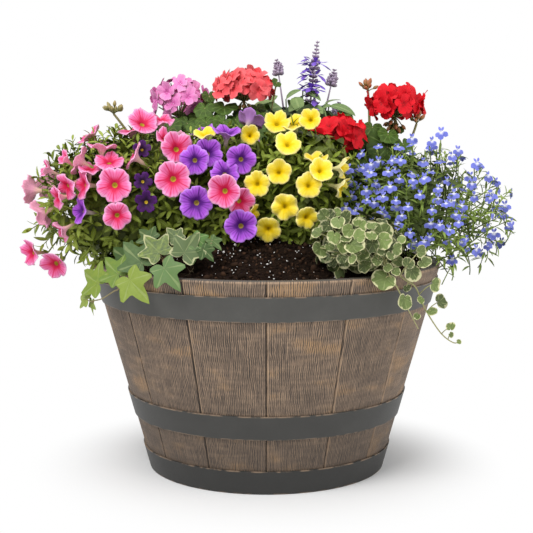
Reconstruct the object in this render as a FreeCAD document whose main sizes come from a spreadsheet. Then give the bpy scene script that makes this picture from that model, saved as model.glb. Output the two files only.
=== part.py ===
import FreeCAD, Part
import math
import os
import Sketcher
from FreeCAD import Placement, Rotation, Vector

# Half-barrel planter with its planting: staves held by three hoops, a boarded head, potting mix,
# and plants whose root balls stand in planting holes. Origin at the centre of the foot, on the floor.
# The front faces -Y. Lengths are millimetres; places in the planting plan are shares of the rim radius.

SIZES = {
    "rim_diameter": (520, "outside of the staves at the rim"),
    "base_diameter": (351, "outside of the staves at the floor"),
    "tub_height": (310, "floor to rim"),
    "stave_count": (14, "staves round the tub, one joint at the front centre"),
    "stave_thickness": (14, "measured level, rim and wall"),
    "joint_ease": (2, "chamfer on each long outer edge, two of them make a joint groove"),
    "rim_ease": (2.5, "chamfer on the outer edge of the rim"),
    "hoop_width": (35, "height of each hoop"),
    "hoop_thickness": (2.2, "strip thickness"),
    "hoop_fit": (0.1, "hoop clear of the staves"),
    "top_hoop_foot": (253.9, "floor to the lower edge of the top hoop"),
    "middle_hoop_foot": (83.4, "floor to the lower edge of the middle hoop"),
    "base_hoop_foot": (0.5, "floor to the lower edge of the base hoop"),
    "lap_length": (60, "overlap of a hoop's two ends, at the back"),
    "rivet_shank": (6, "diameter"),
    "rivet_head": (12, "diameter"),
    "rivet_dome": (2.4, "height of the head"),
    "rivet_pitch": (28, "between the two rivets of a lap"),
    "rivet_fit": (0.05, "shank clear of its hole"),
    "head_foot": (26, "floor to the underside of the head"),
    "head_thickness": (14, "boards of the head"),
    "croze_depth": (7, "groove in the staves that holds the head, at its foot"),
    "croze_fit": (0.2, "head clear of the groove"),
    "dowel_diameter": (8, "pins between the head boards"),
    "dowel_length": (50, "pins between the head boards"),
    "dowel_pitch": (140, "between the two pins of a joint"),
    "dowel_fit": (0.05, "pin clear of its hole"),
    "drain_diameter": (16, "drain holes in the head"),
    "drain_circle": (210, "circle of the outer drain holes"),
    "soil_margin": (6, "potting mix below the rim, at the wall"),
    "soil_crown": (55, "rise of the potting mix from the wall to the middle"),
    "soil_fit": (0.3, "potting mix clear of the staves"),
    "root_fit": (0.5, "root ball clear of its planting hole"),
    "root_sink": (2, "top of a root ball below the potting mix"),
    "neck_reach": (34, "crown stem above its root ball"),
    "neck_diameter": (18, "crown stem of a large plant"),
    "slim_neck_diameter": (10, "crown stem of a trailing plant"),
    "root_taper": (0.75, "foot of a root ball as a share of its top"),
    "leaf_gap": (2, "foliage clear of the potting mix and the rim"),
    "cell_gap": (1, "between the foliage of two neighbours"),
    "seat_gap": (0.3, "stalks and blooms clear of what carries them"),
    "stalk_sink": (12, "depth of a stalk in the foliage"),
    "petunia_bloom": (40, "diameter of the flared bloom"),
    "petunia_length": (30, "tube and flare together"),
    "petunia_tube": (6, "diameter of the tube at its foot"),
    "lobelia_bloom": (17, "diameter"),
    "lobelia_length": (14, "stalk and bloom together"),
    "lobelia_tube": (3, "diameter of the stalk"),
    "geranium_stalk": (6, "diameter"),
    "spike_stalk": (4, "diameter"),
    "spike_width": (20, "diameter of the flowering part"),
    "vine_diameter": (3, "trailing stems"),
    "ivy_leaf": (36, "length of a leaf blade"),
    "creeper_leaf": (27, "diameter of a leaf blade"),
    "ivy_petiole": (12, "length of a leaf stalk"),
    "creeper_petiole": (8, "length of a leaf stalk"),
    "leaf_thickness": (1.2, "leaf blades"),
    "petiole_diameter": (1.6, "leaf stalks"),
    "row_front_line": (-0.59, "between the front row and the middle row"),
    "row_back_line": (0.085, "between the middle row and the back row"),
    "salvia_line": (0.535, "between the back row and the salvia"),
    "pink_violet_line": (-0.443, "between two cells"),
    "violet_yellow_line": (-0.02, "between two cells"),
    "yellow_lobelia_line": (0.45, "between two cells"),
    "orchid_coral_line": (-0.352, "between two cells"),
    "coral_red_line": (0.25, "between two cells"),
}

# Mound of each plant: centre across and back, lift of the centre above the rim,
# half width, half depth, half height; then the root ball: across, back, diameter, depth.
MOUNDS = {
    "pink_petunia": (-0.738, -0.154, 92, 0.55, 0.315, 95, -0.62, -0.27, 80, 80),
    "violet_petunia": (-0.231, -0.154, 90, 0.365, 0.315, 100, -0.23, -0.27, 80, 80),
    "yellow_petunia": (0.215, -0.154, 92, 0.365, 0.315, 110, 0.215, -0.27, 80, 80),
    "lobelia": (0.854, -0.173, 75, 0.492, 0.308, 84, 0.63, -0.26, 80, 80),
    "orchid_geranium": (-0.635, 0.442, 90, 0.327, 0.385, 95, -0.54, 0.42, 80, 80),
    "coral_geranium": (-0.05, 0.31, 100, 0.35, 0.29, 118, -0.05, 0.31, 80, 80),
    "red_geranium": (0.615, 0.31, 88, 0.404, 0.29, 78, 0.48, 0.31, 80, 80),
    "salvia": (0.192, 0.71, 122, 0.404, 0.31, 118, 0.19, 0.71, 70, 70),
    "creeper": (0.47, -0.754, 42, 0.24, 0.154, 48, 0.42, -0.69, 44, 55),
}
MOUND_VALUES = ("across", "back", "lift", "half_width", "half_depth", "half_height")
ROOT_VALUES = ("root_across", "root_back", "root_diameter", "root_depth")
IVY_ROOT = (-0.4, -0.69, 44, 55)

# Cell of each plant in the plan: left, right, front and back line; None is open
CELLS = {
    "pink_petunia": (None, "pink_violet_line", "row_front_line", "row_back_line"),
    "violet_petunia": ("pink_violet_line", "violet_yellow_line", "row_front_line", "row_back_line"),
    "yellow_petunia": ("violet_yellow_line", "yellow_lobelia_line", "row_front_line", "row_back_line"),
    "lobelia": ("yellow_lobelia_line", None, "row_front_line", "row_back_line"),
    "orchid_geranium": (None, "orchid_coral_line", "row_back_line", None),
    "coral_geranium": ("orchid_coral_line", "coral_red_line", "row_back_line", "salvia_line"),
    "red_geranium": ("coral_red_line", None, "row_back_line", "salvia_line"),
    "salvia": ("orchid_coral_line", None, "salvia_line", None),
    "creeper": (None, None, None, "row_front_line"),
}

# Blooms of each petunia by the mound that carries them: bearing from the front and rise, degrees
PETUNIA_BLOOMS = {
    "pink_petunia": {
        "pink_petunia": ((-11, 16), (-9, -10), (38, 18), (47, 38), (21, 64), (-37, 14), (-58, 2), (-76, 9),
                         (-70, -14), (-27, 45), (-51, 30), (3, 38), (-88, -28), (-106, 14), (-112, 42)),
        "violet_petunia": ((1, 12),),
    },
    "violet_petunia": {
        "violet_petunia": ((-16, 40), (16, 36), (-21, 3), (14, -15), (5, 59), (60, 70)),
    },
    "yellow_petunia": {
        "yellow_petunia": ((-43, 64), (6, 68), (-19, 48), (-23, 26), (12, 28), (-16, 1), (7, -13),
                           (-31, -18), (26, 4)),
    },
}
# Blooms of the lobelia: how many places the spread tries, and its lowest and highest rise on the mound
LOBELIA_PLACES = 34
LOBELIA_LOWEST_RISE = -17.5
LOBELIA_HIGHEST_RISE = 76

# Flower heads: across, back, lift above the rim, half width, half height
HEADS = {
    "orchid_geranium": ((-0.527, 0.385, 251, 41, 30),),
    "coral_geranium": ((-0.138, 0.327, 267, 46, 27),),
    "red_geranium": ((0.442, 0.265, 192, 43, 26), (0.773, 0.3, 241, 43, 31)),
}
# Flower spikes: bearing and rise on the mound, whole length, length of the flowering part
SALVIA_SPIKES = (
    (50, 80, 100, 84),
    (-68, 74, 81, 48),
    (62, 66, 68, 46),
    (-160, 60, 60, 42),
    (150, 58, 58, 40),
)
# How far a spike turns from the mound's surface to the upright
SPIKE_UPRIGHT = 4

# Routes of the trailing stems: bearing from the front, distance outside the rim, height above the rim
IVY_VINES = (
    ((-35, -21, 18), (-40, 6, 14), (-44, 16, -10), (-47, 22, -34), (-49, 28, -60)),
    ((-42, -30, 34), (-47, -4, 32), (-50, 14, 18)),
    ((-27, -24, 26), (-30, 6, 16), (-32, 16, -8)),
    ((-26, -50, 40), (-18, -44, 50), (-10, -42, 44)),
)
CREEPER_VINES = (
    ((43, 16, 14), (45, 18, -14), (47, 18, -44), (49, 18, -76)),
    ((48, 18, 18), (51, 23, -8), (54, 29, -44), (57, 37, -78), (60, 52, -96)),
)

# How a trailing leaf points: to its side of the stem, outward and down
LEAF_SIDE = 0.45
LEAF_OUTWARD = 0.5
LEAF_HANG = 0.6

doc = FreeCAD.newDocument("barrel_planter")
sheet = doc.addObject("Spreadsheet::Sheet", "dims")
outputs = []


def fill_sheet():
    """One row for each size: its name, its value with the alias, and a note."""
    rows = dict(SIZES)
    for plant, values in MOUNDS.items():
        for what, value in zip(MOUND_VALUES + ROOT_VALUES, values):
            rows[f"{plant}_{what}"] = (value, plant.replace("_", " "))
    for what, value in zip(ROOT_VALUES, IVY_ROOT):
        rows[f"ivy_{what}"] = (value, "ivy")
    for row, (alias, (value, note)) in enumerate(rows.items(), start=1):
        sheet.set(f"A{row}", alias)
        sheet.set(f"B{row}", str(value))
        sheet.setAlias(f"B{row}", alias)
        sheet.set(f"C{row}", note)
    doc.recompute()


def number(formula):
    """Value of a formula of the sheet."""
    return float(sheet.evalExpression(formula))


def size(alias):
    """Value of one cell."""
    return number(f"dims.{alias}")


def bind(thing, **formulas):
    """Tie properties to formulas; x, y, z and turn stand for the Placement."""
    paths = {"x": "Placement.Base.x", "y": "Placement.Base.y", "z": "Placement.Base.z"}
    paths["turn"] = "Placement.Rotation.Angle"
    for name, formula in formulas.items():
        thing.setExpression(paths.get(name, name), str(formula))
    return thing


def primitive(kind, name, **formulas):
    """A primitive solid bound to the sheet."""
    return bind(doc.addObject(f"Part::{kind}", name), **formulas)


def cut(name, base, tool):
    """The base without the tool."""
    result = doc.addObject("Part::Cut", name)
    result.Base = base
    result.Tool = tool
    return result


def common(name, base, tool):
    """What the base and the tool share."""
    result = doc.addObject("Part::Common", name)
    result.Base = base
    result.Tool = tool
    return result


def fuse(name, *pieces):
    """The pieces as one solid."""
    result = doc.addObject("Part::MultiFuse", name)
    result.Shapes = list(pieces)
    return result


def feature(name, shape):
    """A free shape worked out from the sheet's values."""
    result = doc.addObject("Part::Feature", name)
    result.Shape = shape
    result.Placement = Placement()
    return result


def output(thing, node):
    """Mark an object as a sub-part under its own name."""
    thing.Label = node
    outputs.append(thing)
    return thing


def outer_radius(height):
    """Formula for the outside of the staves at a height."""
    spread = "(dims.rim_diameter - dims.base_diameter) / (2 * dims.tub_height)"
    return f"(dims.base_diameter / 2 + ({height}) * {spread})"


def inner_radius(height):
    """Formula for the inside of the staves at a height."""
    return f"({outer_radius(height)} - dims.stave_thickness)"


def share(alias):
    """Formula for a place in the plan, from its share of the rim radius."""
    return f"(dims.{alias} * dims.rim_diameter / 2)"


HEAD_TOP = "(dims.head_foot + dims.head_thickness)"
HEAD_RADIUS = f"({inner_radius('dims.head_foot')} + dims.croze_depth - dims.croze_fit)"
SOIL_EDGE = "(dims.tub_height - dims.soil_margin)"
SOIL_RADIUS = f"({inner_radius(SOIL_EDGE)} - dims.soil_fit)"
DOME_RADIUS = f"(({SOIL_RADIUS} ^ 2 + dims.soil_crown ^ 2) / (2 * dims.soil_crown))"
DOME_CENTRE = f"({SOIL_EDGE} + dims.soil_crown - {DOME_RADIUS})"
RIM_CLEAR = "(dims.rim_diameter / 2 + dims.leaf_gap)"


def place_corner(sketch, geometry, across, up):
    """Fix the start of an edge at two formulas, measured from the sketch's origin."""
    for kind, axis, formula in (("DistanceX", -2, across), ("DistanceY", -1, up)):
        if formula == "0":
            sketch.addConstraint(Sketcher.Constraint("PointOnObject", geometry, 1, axis))
            continue
        value = number(formula)
        index = sketch.addConstraint(Sketcher.Constraint(kind, -1, 1, geometry, 1, value))
        sketch.setExpression(f"Constraints[{index}]", formula)


def profile(body, name, corners, dome_after=None):
    """Closed outline in the XZ plane; the edge after corner dome_after is an arc centred on the Z axis."""
    sketch = body.newObject("Sketcher::SketchObject", name)
    plane = next(item for item in body.Origin.OriginFeatures if item.Role == "XZ_Plane")
    sketch.AttachmentSupport = [(plane, "")]
    sketch.MapMode = "FlatFace"
    points = [Vector(number(across), number(up), 0) for across, up in corners]
    following = points[1:] + points[:1]
    arc_index = None
    for index, (start, end) in enumerate(zip(points, following)):
        if index == dome_after:
            arc_index = index
            radius = (start.x ** 2 + (end.y - start.y) ** 2) / (2 * (end.y - start.y))
            circle = Part.Circle(Vector(0, end.y - radius, 0), Vector(0, 0, 1), radius)
            start_angle = math.atan2(start.y - end.y + radius, start.x)
            sketch.addGeometry(Part.ArcOfCircle(circle, start_angle, math.pi / 2))
        else:
            sketch.addGeometry(Part.LineSegment(start, end))
    for index in range(len(points)):
        sketch.addConstraint(Sketcher.Constraint("Coincident", index, 2, (index + 1) % len(points), 1))
    for index, (across, up) in enumerate(corners):
        place_corner(sketch, index, across, up)
    if arc_index is not None:
        sketch.addConstraint(Sketcher.Constraint("PointOnObject", arc_index, 3, -2))
    return sketch


def revolve(body, name, sketch, turn):
    """Turn a profile about the Z axis."""
    solid = body.newObject("PartDesign::Revolution", name)
    solid.Profile = sketch
    solid.ReferenceAxis = (sketch, ["V_Axis"])
    return bind(solid, Angle=turn)


def long_outer_edges(shape):
    """Names of the straight edges that lie on the outside of a stave."""
    names = []
    for index, edge in enumerate(shape.Edges, start=1):
        middle = edge.valueAt((edge.FirstParameter + edge.LastParameter) / 2)
        off_wall = math.hypot(middle.x, middle.y) - number(outer_radius(middle.z))
        on_wall = abs(off_wall) < size("hoop_fit") / 2
        if isinstance(edge.Curve, Part.Line) and on_wall and edge.Length > size("hoop_width"):
            names.append(f"Edge{index}")
    return names


def make_stave(index):
    """One stave: a wedge of the wall with the croze groove and eased joint edges."""
    body = doc.addObject("PartDesign::Body", f"StaveBody{index}")
    croze_foot = "(dims.head_foot - dims.croze_fit)"
    croze_top = f"({HEAD_TOP} + dims.croze_fit)"
    croze_radius = f"({inner_radius('dims.head_foot')} + dims.croze_depth)"
    eased = "(dims.tub_height - dims.rim_ease)"
    corners = (
        (outer_radius("0"), "0"),
        (outer_radius(eased), eased),
        (f"({outer_radius('dims.tub_height')} - dims.rim_ease)", "dims.tub_height"),
        (inner_radius("dims.tub_height"), "dims.tub_height"),
        (inner_radius(croze_top), croze_top),
        (croze_radius, croze_top),
        (croze_radius, croze_foot),
        (inner_radius(croze_foot), croze_foot),
        (inner_radius("0"), "0"),
    )
    sketch = profile(body, f"StaveProfile{index}", corners)
    wedge = revolve(body, f"StaveWedge{index}", sketch, "360 / dims.stave_count")
    doc.recompute()
    joint = body.newObject("PartDesign::Chamfer", f"StaveJoint{index}")
    joint.Base = (wedge, long_outer_edges(wedge.Shape))
    bind(joint, Size="dims.joint_ease")
    body.Placement.Rotation = Rotation(Vector(0, 0, 1), 1)
    bind(body, turn=f"{index} * 360 / dims.stave_count - 90")
    return output(body, f"stave_{index + 1:02d}")


def cone_ring(name, foot, inside, outside):
    """Ring that follows the wall's slope between two distances from it."""
    top = f"({foot} + dims.hoop_width)"
    shell = primitive("Cone", f"{name}Shell", z=foot, Height="dims.hoop_width",
                      Radius1=f"{outer_radius(foot)} + {outside}",
                      Radius2=f"{outer_radius(top)} + {outside}")
    low = f"({foot} - dims.hoop_width)"
    high = f"({top} + dims.hoop_width)"
    core = primitive("Cone", f"{name}Core", z=low, Height="3 * dims.hoop_width",
                     Radius1=f"{outer_radius(low)} + {inside}", Radius2=f"{outer_radius(high)} + {inside}")
    return cut(f"{name}Ring", shell, core)


def rivet_places(foot):
    """Outer points of a hoop's lap where its two rivets go, with the outward normals."""
    middle = f"({foot} + dims.hoop_width / 2)"
    radius = number(f"{outer_radius(middle)} + dims.hoop_fit")
    slope = math.atan2(number("dims.rim_diameter - dims.base_diameter"), 2 * size("tub_height"))
    places = []
    for side in (-1, 1):
        bearing = side * size("rivet_pitch") / 2 / radius
        flat = Vector(math.sin(bearing), math.cos(bearing), 0)
        normal = flat * math.cos(slope) - Vector(0, 0, math.sin(slope))
        places.append((flat * radius + Vector(0, 0, number(middle)), normal))
    return places


def make_hoop(node, foot):
    """A hoop: a conical strip whose ends lap at the back, drilled for two rivets."""
    name = node.title().replace("_", "")
    ring = cone_ring(name, foot, "dims.hoop_fit", "dims.hoop_fit + dims.hoop_thickness")
    double = cone_ring(f"{name}Double", foot, "dims.hoop_fit", "dims.hoop_fit + 2 * dims.hoop_thickness")
    window = primitive("Box", f"{name}Window", x="-dims.lap_length / 2", z=foot, Length="dims.lap_length",
                       Width="dims.rim_diameter", Height="dims.hoop_width")
    strip = fuse(f"{name}Strip", ring, common(f"{name}Lap", double, window))
    radius = size("rivet_shank") / 2 + size("rivet_fit")
    reach = 3 * size("hoop_thickness")
    drills = [Part.makeCylinder(radius, 2 * reach, point - normal * reach, normal)
              for point, normal in rivet_places(foot)]
    return output(cut(name, strip, feature(f"{name}Drills", Part.makeCompound(drills))), node)


def revolved(points):
    """Solid of revolution about Z from an outline that starts and ends on the axis."""
    corners = [Vector(across, 0, up) for across, up in points]
    outline = Part.makePolygon(corners + corners[:1])
    return Part.Face(outline).revolve(Vector(0, 0, 0), Vector(0, 0, 1), 360)


def stood(solid, point, direction):
    """The solid with its foot at a point and its Z axis along a direction."""
    placed = solid.copy()
    placed.Placement = Placement(point, Rotation(Vector(0, 0, 1), direction))
    return placed


def make_rivets(feet):
    """All hoop rivets: a shank through both ends of the strip and a domed head outside."""
    shank = size("rivet_shank") / 2
    head = size("rivet_head") / 2
    grip = 2 * size("hoop_thickness") + size("rivet_fit")
    crown = grip + size("rivet_dome")
    rivet = revolved(((0, 0), (shank, 0), (shank, grip), (head, grip), (shank, crown), (0, crown)))
    rivets = [stood(rivet, point, normal) for foot in feet for point, normal in rivet_places(foot)]
    return output(feature("HoopRivets", Part.makeCompound(rivets)), "hoop_rivets")


def make_head():
    """The head: three boards in the croze groove, pinned edge to edge, with drain holes."""
    width = f"(2 * {HEAD_RADIUS} / 3)"
    middle = "(dims.head_foot + dims.head_thickness / 2)"
    pins = []
    pin_holes = []
    radius = size("dowel_diameter") / 2
    length = size("dowel_length")
    level = Vector(1, 0, 0)
    for side in (-1, 1):
        for end in (-1, 1):
            across = side * number(width) / 2 - length / 2
            start = Vector(across, end * size("dowel_pitch") / 2, number(middle))
            pins.append(Part.makeCylinder(radius, length, start, level))
            pin_holes.append(Part.makeCylinder(radius + size("dowel_fit"), length, start, level))
    drains = [Part.makeCylinder(size("drain_diameter") / 2, 2 * size("tub_height"))]
    for quarter in range(4):
        angle = math.radians(90 * quarter)
        centre = Vector(math.cos(angle), math.sin(angle), 0) * (size("drain_circle") / 2)
        drains.append(Part.makeCylinder(size("drain_diameter") / 2, 2 * size("tub_height"), centre))
    for index, node in enumerate(("head_board_left", "head_board_centre", "head_board_right")):
        name = node.title().replace("_", "")
        disc = primitive("Cylinder", f"{name}Disc", z="dims.head_foot", Radius=HEAD_RADIUS,
                         Height="dims.head_thickness")
        plank = primitive("Box", f"{name}Plank", x=f"{width} * ({index} - 3 / 2)", y=f"-{HEAD_RADIUS}",
                          z="dims.head_foot", Length=width, Width=f"2 * {HEAD_RADIUS}",
                          Height="dims.head_thickness")
        holes = feature(f"{name}Holes", Part.makeCompound(pin_holes + drains))
        output(cut(name, common(f"{name}Blank", disc, plank), holes), node)
    output(feature("HeadDowels", Part.makeCompound(pins)), "head_dowels")


def dome_height(radius):
    """Formula for the top of the potting mix at a distance from the axis."""
    return f"({DOME_CENTRE} + sqrt({DOME_RADIUS} ^ 2 - ({radius}) ^ 2))"


def root_formulas(plant):
    """Formulas for a root ball: across, back, radius, top and depth."""
    across = share(f"{plant}_root_across")
    back = share(f"{plant}_root_back")
    radius = f"(dims.{plant}_root_diameter / 2)"
    reach = f"(sqrt({across} ^ 2 + {back} ^ 2) + {radius})"
    top = f"({dome_height(reach)} - dims.root_sink)"
    return across, back, radius, top, f"dims.{plant}_root_depth"


def root_cone(name, plant, room, height):
    """Tapered root ball, or its planting hole with room round it and a height above its foot."""
    across, back, radius, top, depth = root_formulas(plant)
    taper = f"({radius} * (1 - dims.root_taper) / ({depth}))"
    foot_radius = f"({radius} * dims.root_taper + {room})"
    return primitive("Cone", name, x=across, y=back, z=f"{top} - {depth} - {room}", Radius1=foot_radius,
                     Radius2=f"{foot_radius} + {taper} * ({height})", Height=height)


def neck_radius(plant):
    """Radius of the crown stem: slim on the trailing plants."""
    return size("slim_neck_diameter" if plant in ("ivy", "creeper") else "neck_diameter") / 2


def make_root_ball(plant):
    """Root ball with the crown stem that carries the plant."""
    name = plant.title().replace("_", "")
    across, back, radius, top, depth = root_formulas(plant)
    ball = root_cone(f"{name}Ball", plant, "0", depth)
    neck = primitive("Cylinder", f"{name}Neck", x=across, y=back, z=f"{top} - {depth} / 2",
                     Radius=neck_radius(plant), Height=f"{depth} / 2 + dims.neck_reach")
    return output(fuse(f"{name}Roots", ball, neck), f"{plant}_roots")


def make_potting_mix(plants):
    """Potting mix: fills the tub, domed on top, with a planting hole for each root ball."""
    body = doc.addObject("PartDesign::Body", "MixBody")
    corners = (
        ("0", HEAD_TOP),
        (f"({inner_radius(HEAD_TOP)} - dims.soil_fit)", HEAD_TOP),
        (SOIL_RADIUS, SOIL_EDGE),
        ("0", f"({SOIL_EDGE} + dims.soil_crown)"),
    )
    sketch = profile(body, "MixProfile", corners, dome_after=2)
    revolve(body, "MixFill", sketch, "360")
    holes = []
    for plant in plants:
        across, back, radius, top, depth = root_formulas(plant)
        height = f"({depth} + dims.root_fit + dims.soil_crown)"
        holes.append(root_cone(f"{plant.title().replace('_', '')}Hole", plant, "dims.root_fit", height))
    return output(cut("PottingMix", body, fuse("PlantingHoles", *holes)), "potting_mix")


def make_keep_out():
    """Room that foliage leaves free: the tub up to its rim, and the domed potting mix."""
    tub = primitive("Cylinder", "KeepTub", Radius=RIM_CLEAR, Height="dims.tub_height + dims.leaf_gap")
    ball = primitive("Sphere", "KeepBall", z=DOME_CENTRE, Radius=f"{DOME_RADIUS} + dims.leaf_gap")
    column = primitive("Cylinder", "KeepColumn", Radius=RIM_CLEAR, Height="2 * dims.tub_height")
    return fuse("KeepOut", tub, common("KeepDome", ball, column))


def mound_shape(plant):
    """Centre and half sizes of a plant's mound."""
    centre = Vector(number(share(f"{plant}_across")), number(share(f"{plant}_back")),
                    number(f"dims.tub_height + dims.{plant}_lift"))
    halves = Vector(number(share(f"{plant}_half_width")), number(share(f"{plant}_half_depth")),
                    size(f"{plant}_half_height"))
    return centre, halves


def heading(bearing, rise):
    """Unit vector from a bearing off the front and a rise, both in degrees."""
    turn = math.radians(bearing)
    lift = math.radians(rise)
    return Vector(math.cos(lift) * math.sin(turn), -math.cos(lift) * math.cos(turn), math.sin(lift))


def on_mound(plant, direction):
    """Point of the mound's surface in a direction from its centre, and the surface normal there."""
    centre, halves = mound_shape(plant)
    scaled = Vector(direction.x / halves.x, direction.y / halves.y, direction.z / halves.z)
    point = direction * (1 / scaled.Length)
    normal = Vector(point.x / halves.x ** 2, point.y / halves.y ** 2, point.z / halves.z ** 2)
    return centre + point, normal.normalize()


def stalk_holes(stalks):
    """Sockets for stalks given by foot, direction and radius, long enough to leave the mound."""
    room = size("seat_gap")
    length = 4 * size("stalk_sink")
    return [Part.makeCylinder(radius + room, length, foot - direction * room, direction)
            for foot, direction, radius in stalks]


def make_foliage(plant, node, keep_out, stalks=()):
    """Leaf mound: an ellipsoid in its cell of the plan, clear of the tub, with sockets for stems."""
    name = node.title().replace("_", "")
    mound = primitive("Ellipsoid", f"{name}Mound", x=share(f"{plant}_across"), y=share(f"{plant}_back"),
                      z=f"dims.tub_height + dims.{plant}_lift", Radius1=f"dims.{plant}_half_height",
                      Radius2=share(f"{plant}_half_width"), Radius3=share(f"{plant}_half_depth"))
    open_side = "2 * dims.rim_diameter"
    left, right, front, back = CELLS[plant]
    low_x = f"({share(left)} + dims.cell_gap / 2)" if left else f"(-{open_side})"
    high_x = f"({share(right)} - dims.cell_gap / 2)" if right else f"({open_side})"
    low_y = f"({share(front)} + dims.cell_gap / 2)" if front else f"(-{open_side})"
    high_y = f"({share(back)} - dims.cell_gap / 2)" if back else f"({open_side})"
    cell = primitive("Box", f"{name}Cell", x=low_x, y=low_y, Length=f"{high_x} - {low_x}",
                     Width=f"{high_y} - {low_y}", Height="4 * dims.tub_height")
    grown = cut(f"{name}Grown", common(f"{name}Share", mound, cell), keep_out)
    across, back_place, radius, top, depth = root_formulas(plant)
    foot = Vector(number(across), number(back_place), number(top))
    room = size("seat_gap")
    neck = Part.makeCylinder(neck_radius(plant) + room, size("neck_reach") + room, foot)
    sockets = feature(f"{name}Sockets", Part.makeCompound([neck] + stalk_holes(stalks)))
    return output(cut(name, grown, sockets), node)


def trumpet(width, length, tube):
    """Bloom: a slim tube that flares into a thin limb."""
    edge = width / 2
    foot = tube / 2
    throat = 0.6 * length
    tube_side = ((0, 0), (0.6 * foot, 0), (foot, 0.5 * length), (2 * foot, 0.75 * length))
    limb = ((edge, 0.95 * length), (edge, length), (2.2 * foot, 0.86 * length))
    return revolved(tube_side + limb + ((0.6 * foot, throat), (0, throat)))


def make_blooms(node, blooms, shape):
    """Blooms of one plant, each stood on the mound that carries it."""
    solids = []
    for plant, places in blooms.items():
        for bearing, rise in places:
            point, normal = on_mound(plant, heading(bearing, rise))
            solids.append(stood(shape, point + normal * size("seat_gap"), normal))
    return output(feature(node.title().replace("_", ""), Part.makeCompound(solids)), node)


def inside_cell(plant, point, margin):
    """Whether a point lies a margin or more inside the lines of the plant's cell."""
    left, right, front, back = CELLS[plant]
    sides = ((left, point.x, 1), (right, point.x, -1), (front, point.y, 1), (back, point.y, -1))
    rooms = [side * (place - number(share(line))) - margin for line, place, side in sides if line]
    return min(rooms) > 0


def spiral_places(plant, reach):
    """Even spread over a mound by the golden angle and equal steps of height, kept in the plant's cell."""
    golden = 180 * (3 - math.sqrt(5))
    lowest = math.sin(math.radians(LOBELIA_LOWEST_RISE))
    highest = math.sin(math.radians(LOBELIA_HIGHEST_RISE))
    step = (highest - lowest) / LOBELIA_PLACES
    places = []
    for index in range(LOBELIA_PLACES):
        rise = math.degrees(math.asin(lowest + step * (index + 0.5)))
        bearing = (index * golden) % 360 - 180
        point, normal = on_mound(plant, heading(bearing, rise))
        if inside_cell(plant, point + normal * reach, reach / 2):
            places.append((bearing, rise))
    return places


def make_geranium(plant, keep_out):
    """Geranium: leaf mound, flower stalks and domed flower heads."""
    radius = size("geranium_stalk") / 2
    room = size("seat_gap")
    stalks = []
    stems = []
    heads = []
    for across, back, lift, half_width, half_height in HEADS[plant]:
        rim = size("rim_diameter") / 2
        middle = Vector(across * rim, back * rim, size("tub_height") + lift)
        centre, halves = mound_shape(plant)
        point, normal = on_mound(plant, (middle - centre).normalize())
        direction = (middle - point).normalize()
        foot = point - direction * size("stalk_sink")
        stalks.append((foot, direction, radius))
        reach = (middle - foot).Length
        stems.append(Part.makeCylinder(radius, reach, foot, direction))
        stretch = FreeCAD.Matrix(half_width, 0, 0, 0, 0, half_width, 0, 0, 0, 0, half_height, 0, 0, 0, 0, 1)
        ball = Part.makeSphere(1, Vector(0, 0, 0), Vector(0, 1, 0))
        head = ball.transformGeometry(stretch)
        head.translate(middle)
        socket = Part.makeCylinder(radius + room, reach + room, foot, direction)
        heads.append(head.cut(socket))
    make_foliage(plant, f"{plant}_leaves", keep_out, stalks)
    name = plant.title().replace("_", "")
    output(feature(f"{name}Stalks", Part.makeCompound(stems)), f"{plant}_stalks")
    output(feature(f"{name}Flowers", Part.makeCompound(heads)), f"{plant}_flowers")


def make_salvia(keep_out):
    """Salvia: leaf mound and upright flower spikes."""
    stalk = size("spike_stalk") / 2
    wide = size("spike_width") / 2
    stalks = []
    spikes = []
    for bearing, rise, length, flowering in SALVIA_SPIKES:
        point, normal = on_mound("salvia", heading(bearing, rise))
        direction = (normal + Vector(0, 0, SPIKE_UPRIGHT)).normalize()
        foot = point - direction * size("stalk_sink")
        stalks.append((foot, direction, stalk))
        tip = size("stalk_sink") + length
        start = tip - flowering
        stem_outline = ((0, 0), (stalk, 0), (stalk, start))
        bloom_outline = ((wide, start + stalk), (wide, start + flowering / 2), (stalk, tip), (0, tip))
        spikes.append(stood(revolved(stem_outline + bloom_outline), foot, direction))
    make_foliage("salvia", "salvia_leaves", keep_out, stalks)
    output(feature("SalviaSpikes", Part.makeCompound(spikes)), "salvia_spikes")


def rim_point(bearing, outward, up):
    """Point given from the rim: bearing off the front, distance outside it and height above it."""
    radius = size("rim_diameter") / 2 + outward
    return heading(bearing, 0) * radius + Vector(0, 0, size("tub_height") + up)


def stem(points, radius):
    """Round stem through the points."""
    pieces = [Part.makeSphere(radius, point) for point in points[1:]]
    for start, end in zip(points, points[1:]):
        pieces.append(Part.makeCylinder(radius, (end - start).Length, start, end - start))
    return pieces[0].multiFuse(pieces[1:]).removeSplitter()


def ivy_outline(length):
    """Half of a five-lobed ivy blade: distance from the midrib and distance from the leaf stalk."""
    lobes = ((0, 0), (0.16, -0.12), (0.42, -0.06), (0.34, 0.2), (0.56, 0.4), (0.26, 0.52), (0, 0.92))
    return [Vector(across * length, along * length, 0) for across, along in lobes]


def round_outline(diameter):
    """Half of a round blade, from the leaf stalk to the tip."""
    sides = 8
    radius = diameter / 2
    angles = [math.pi * step / sides for step in range(sides + 1)]
    return [Vector(math.sin(angle) * radius, (1 - math.cos(angle)) * radius, 0) for angle in angles]


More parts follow.
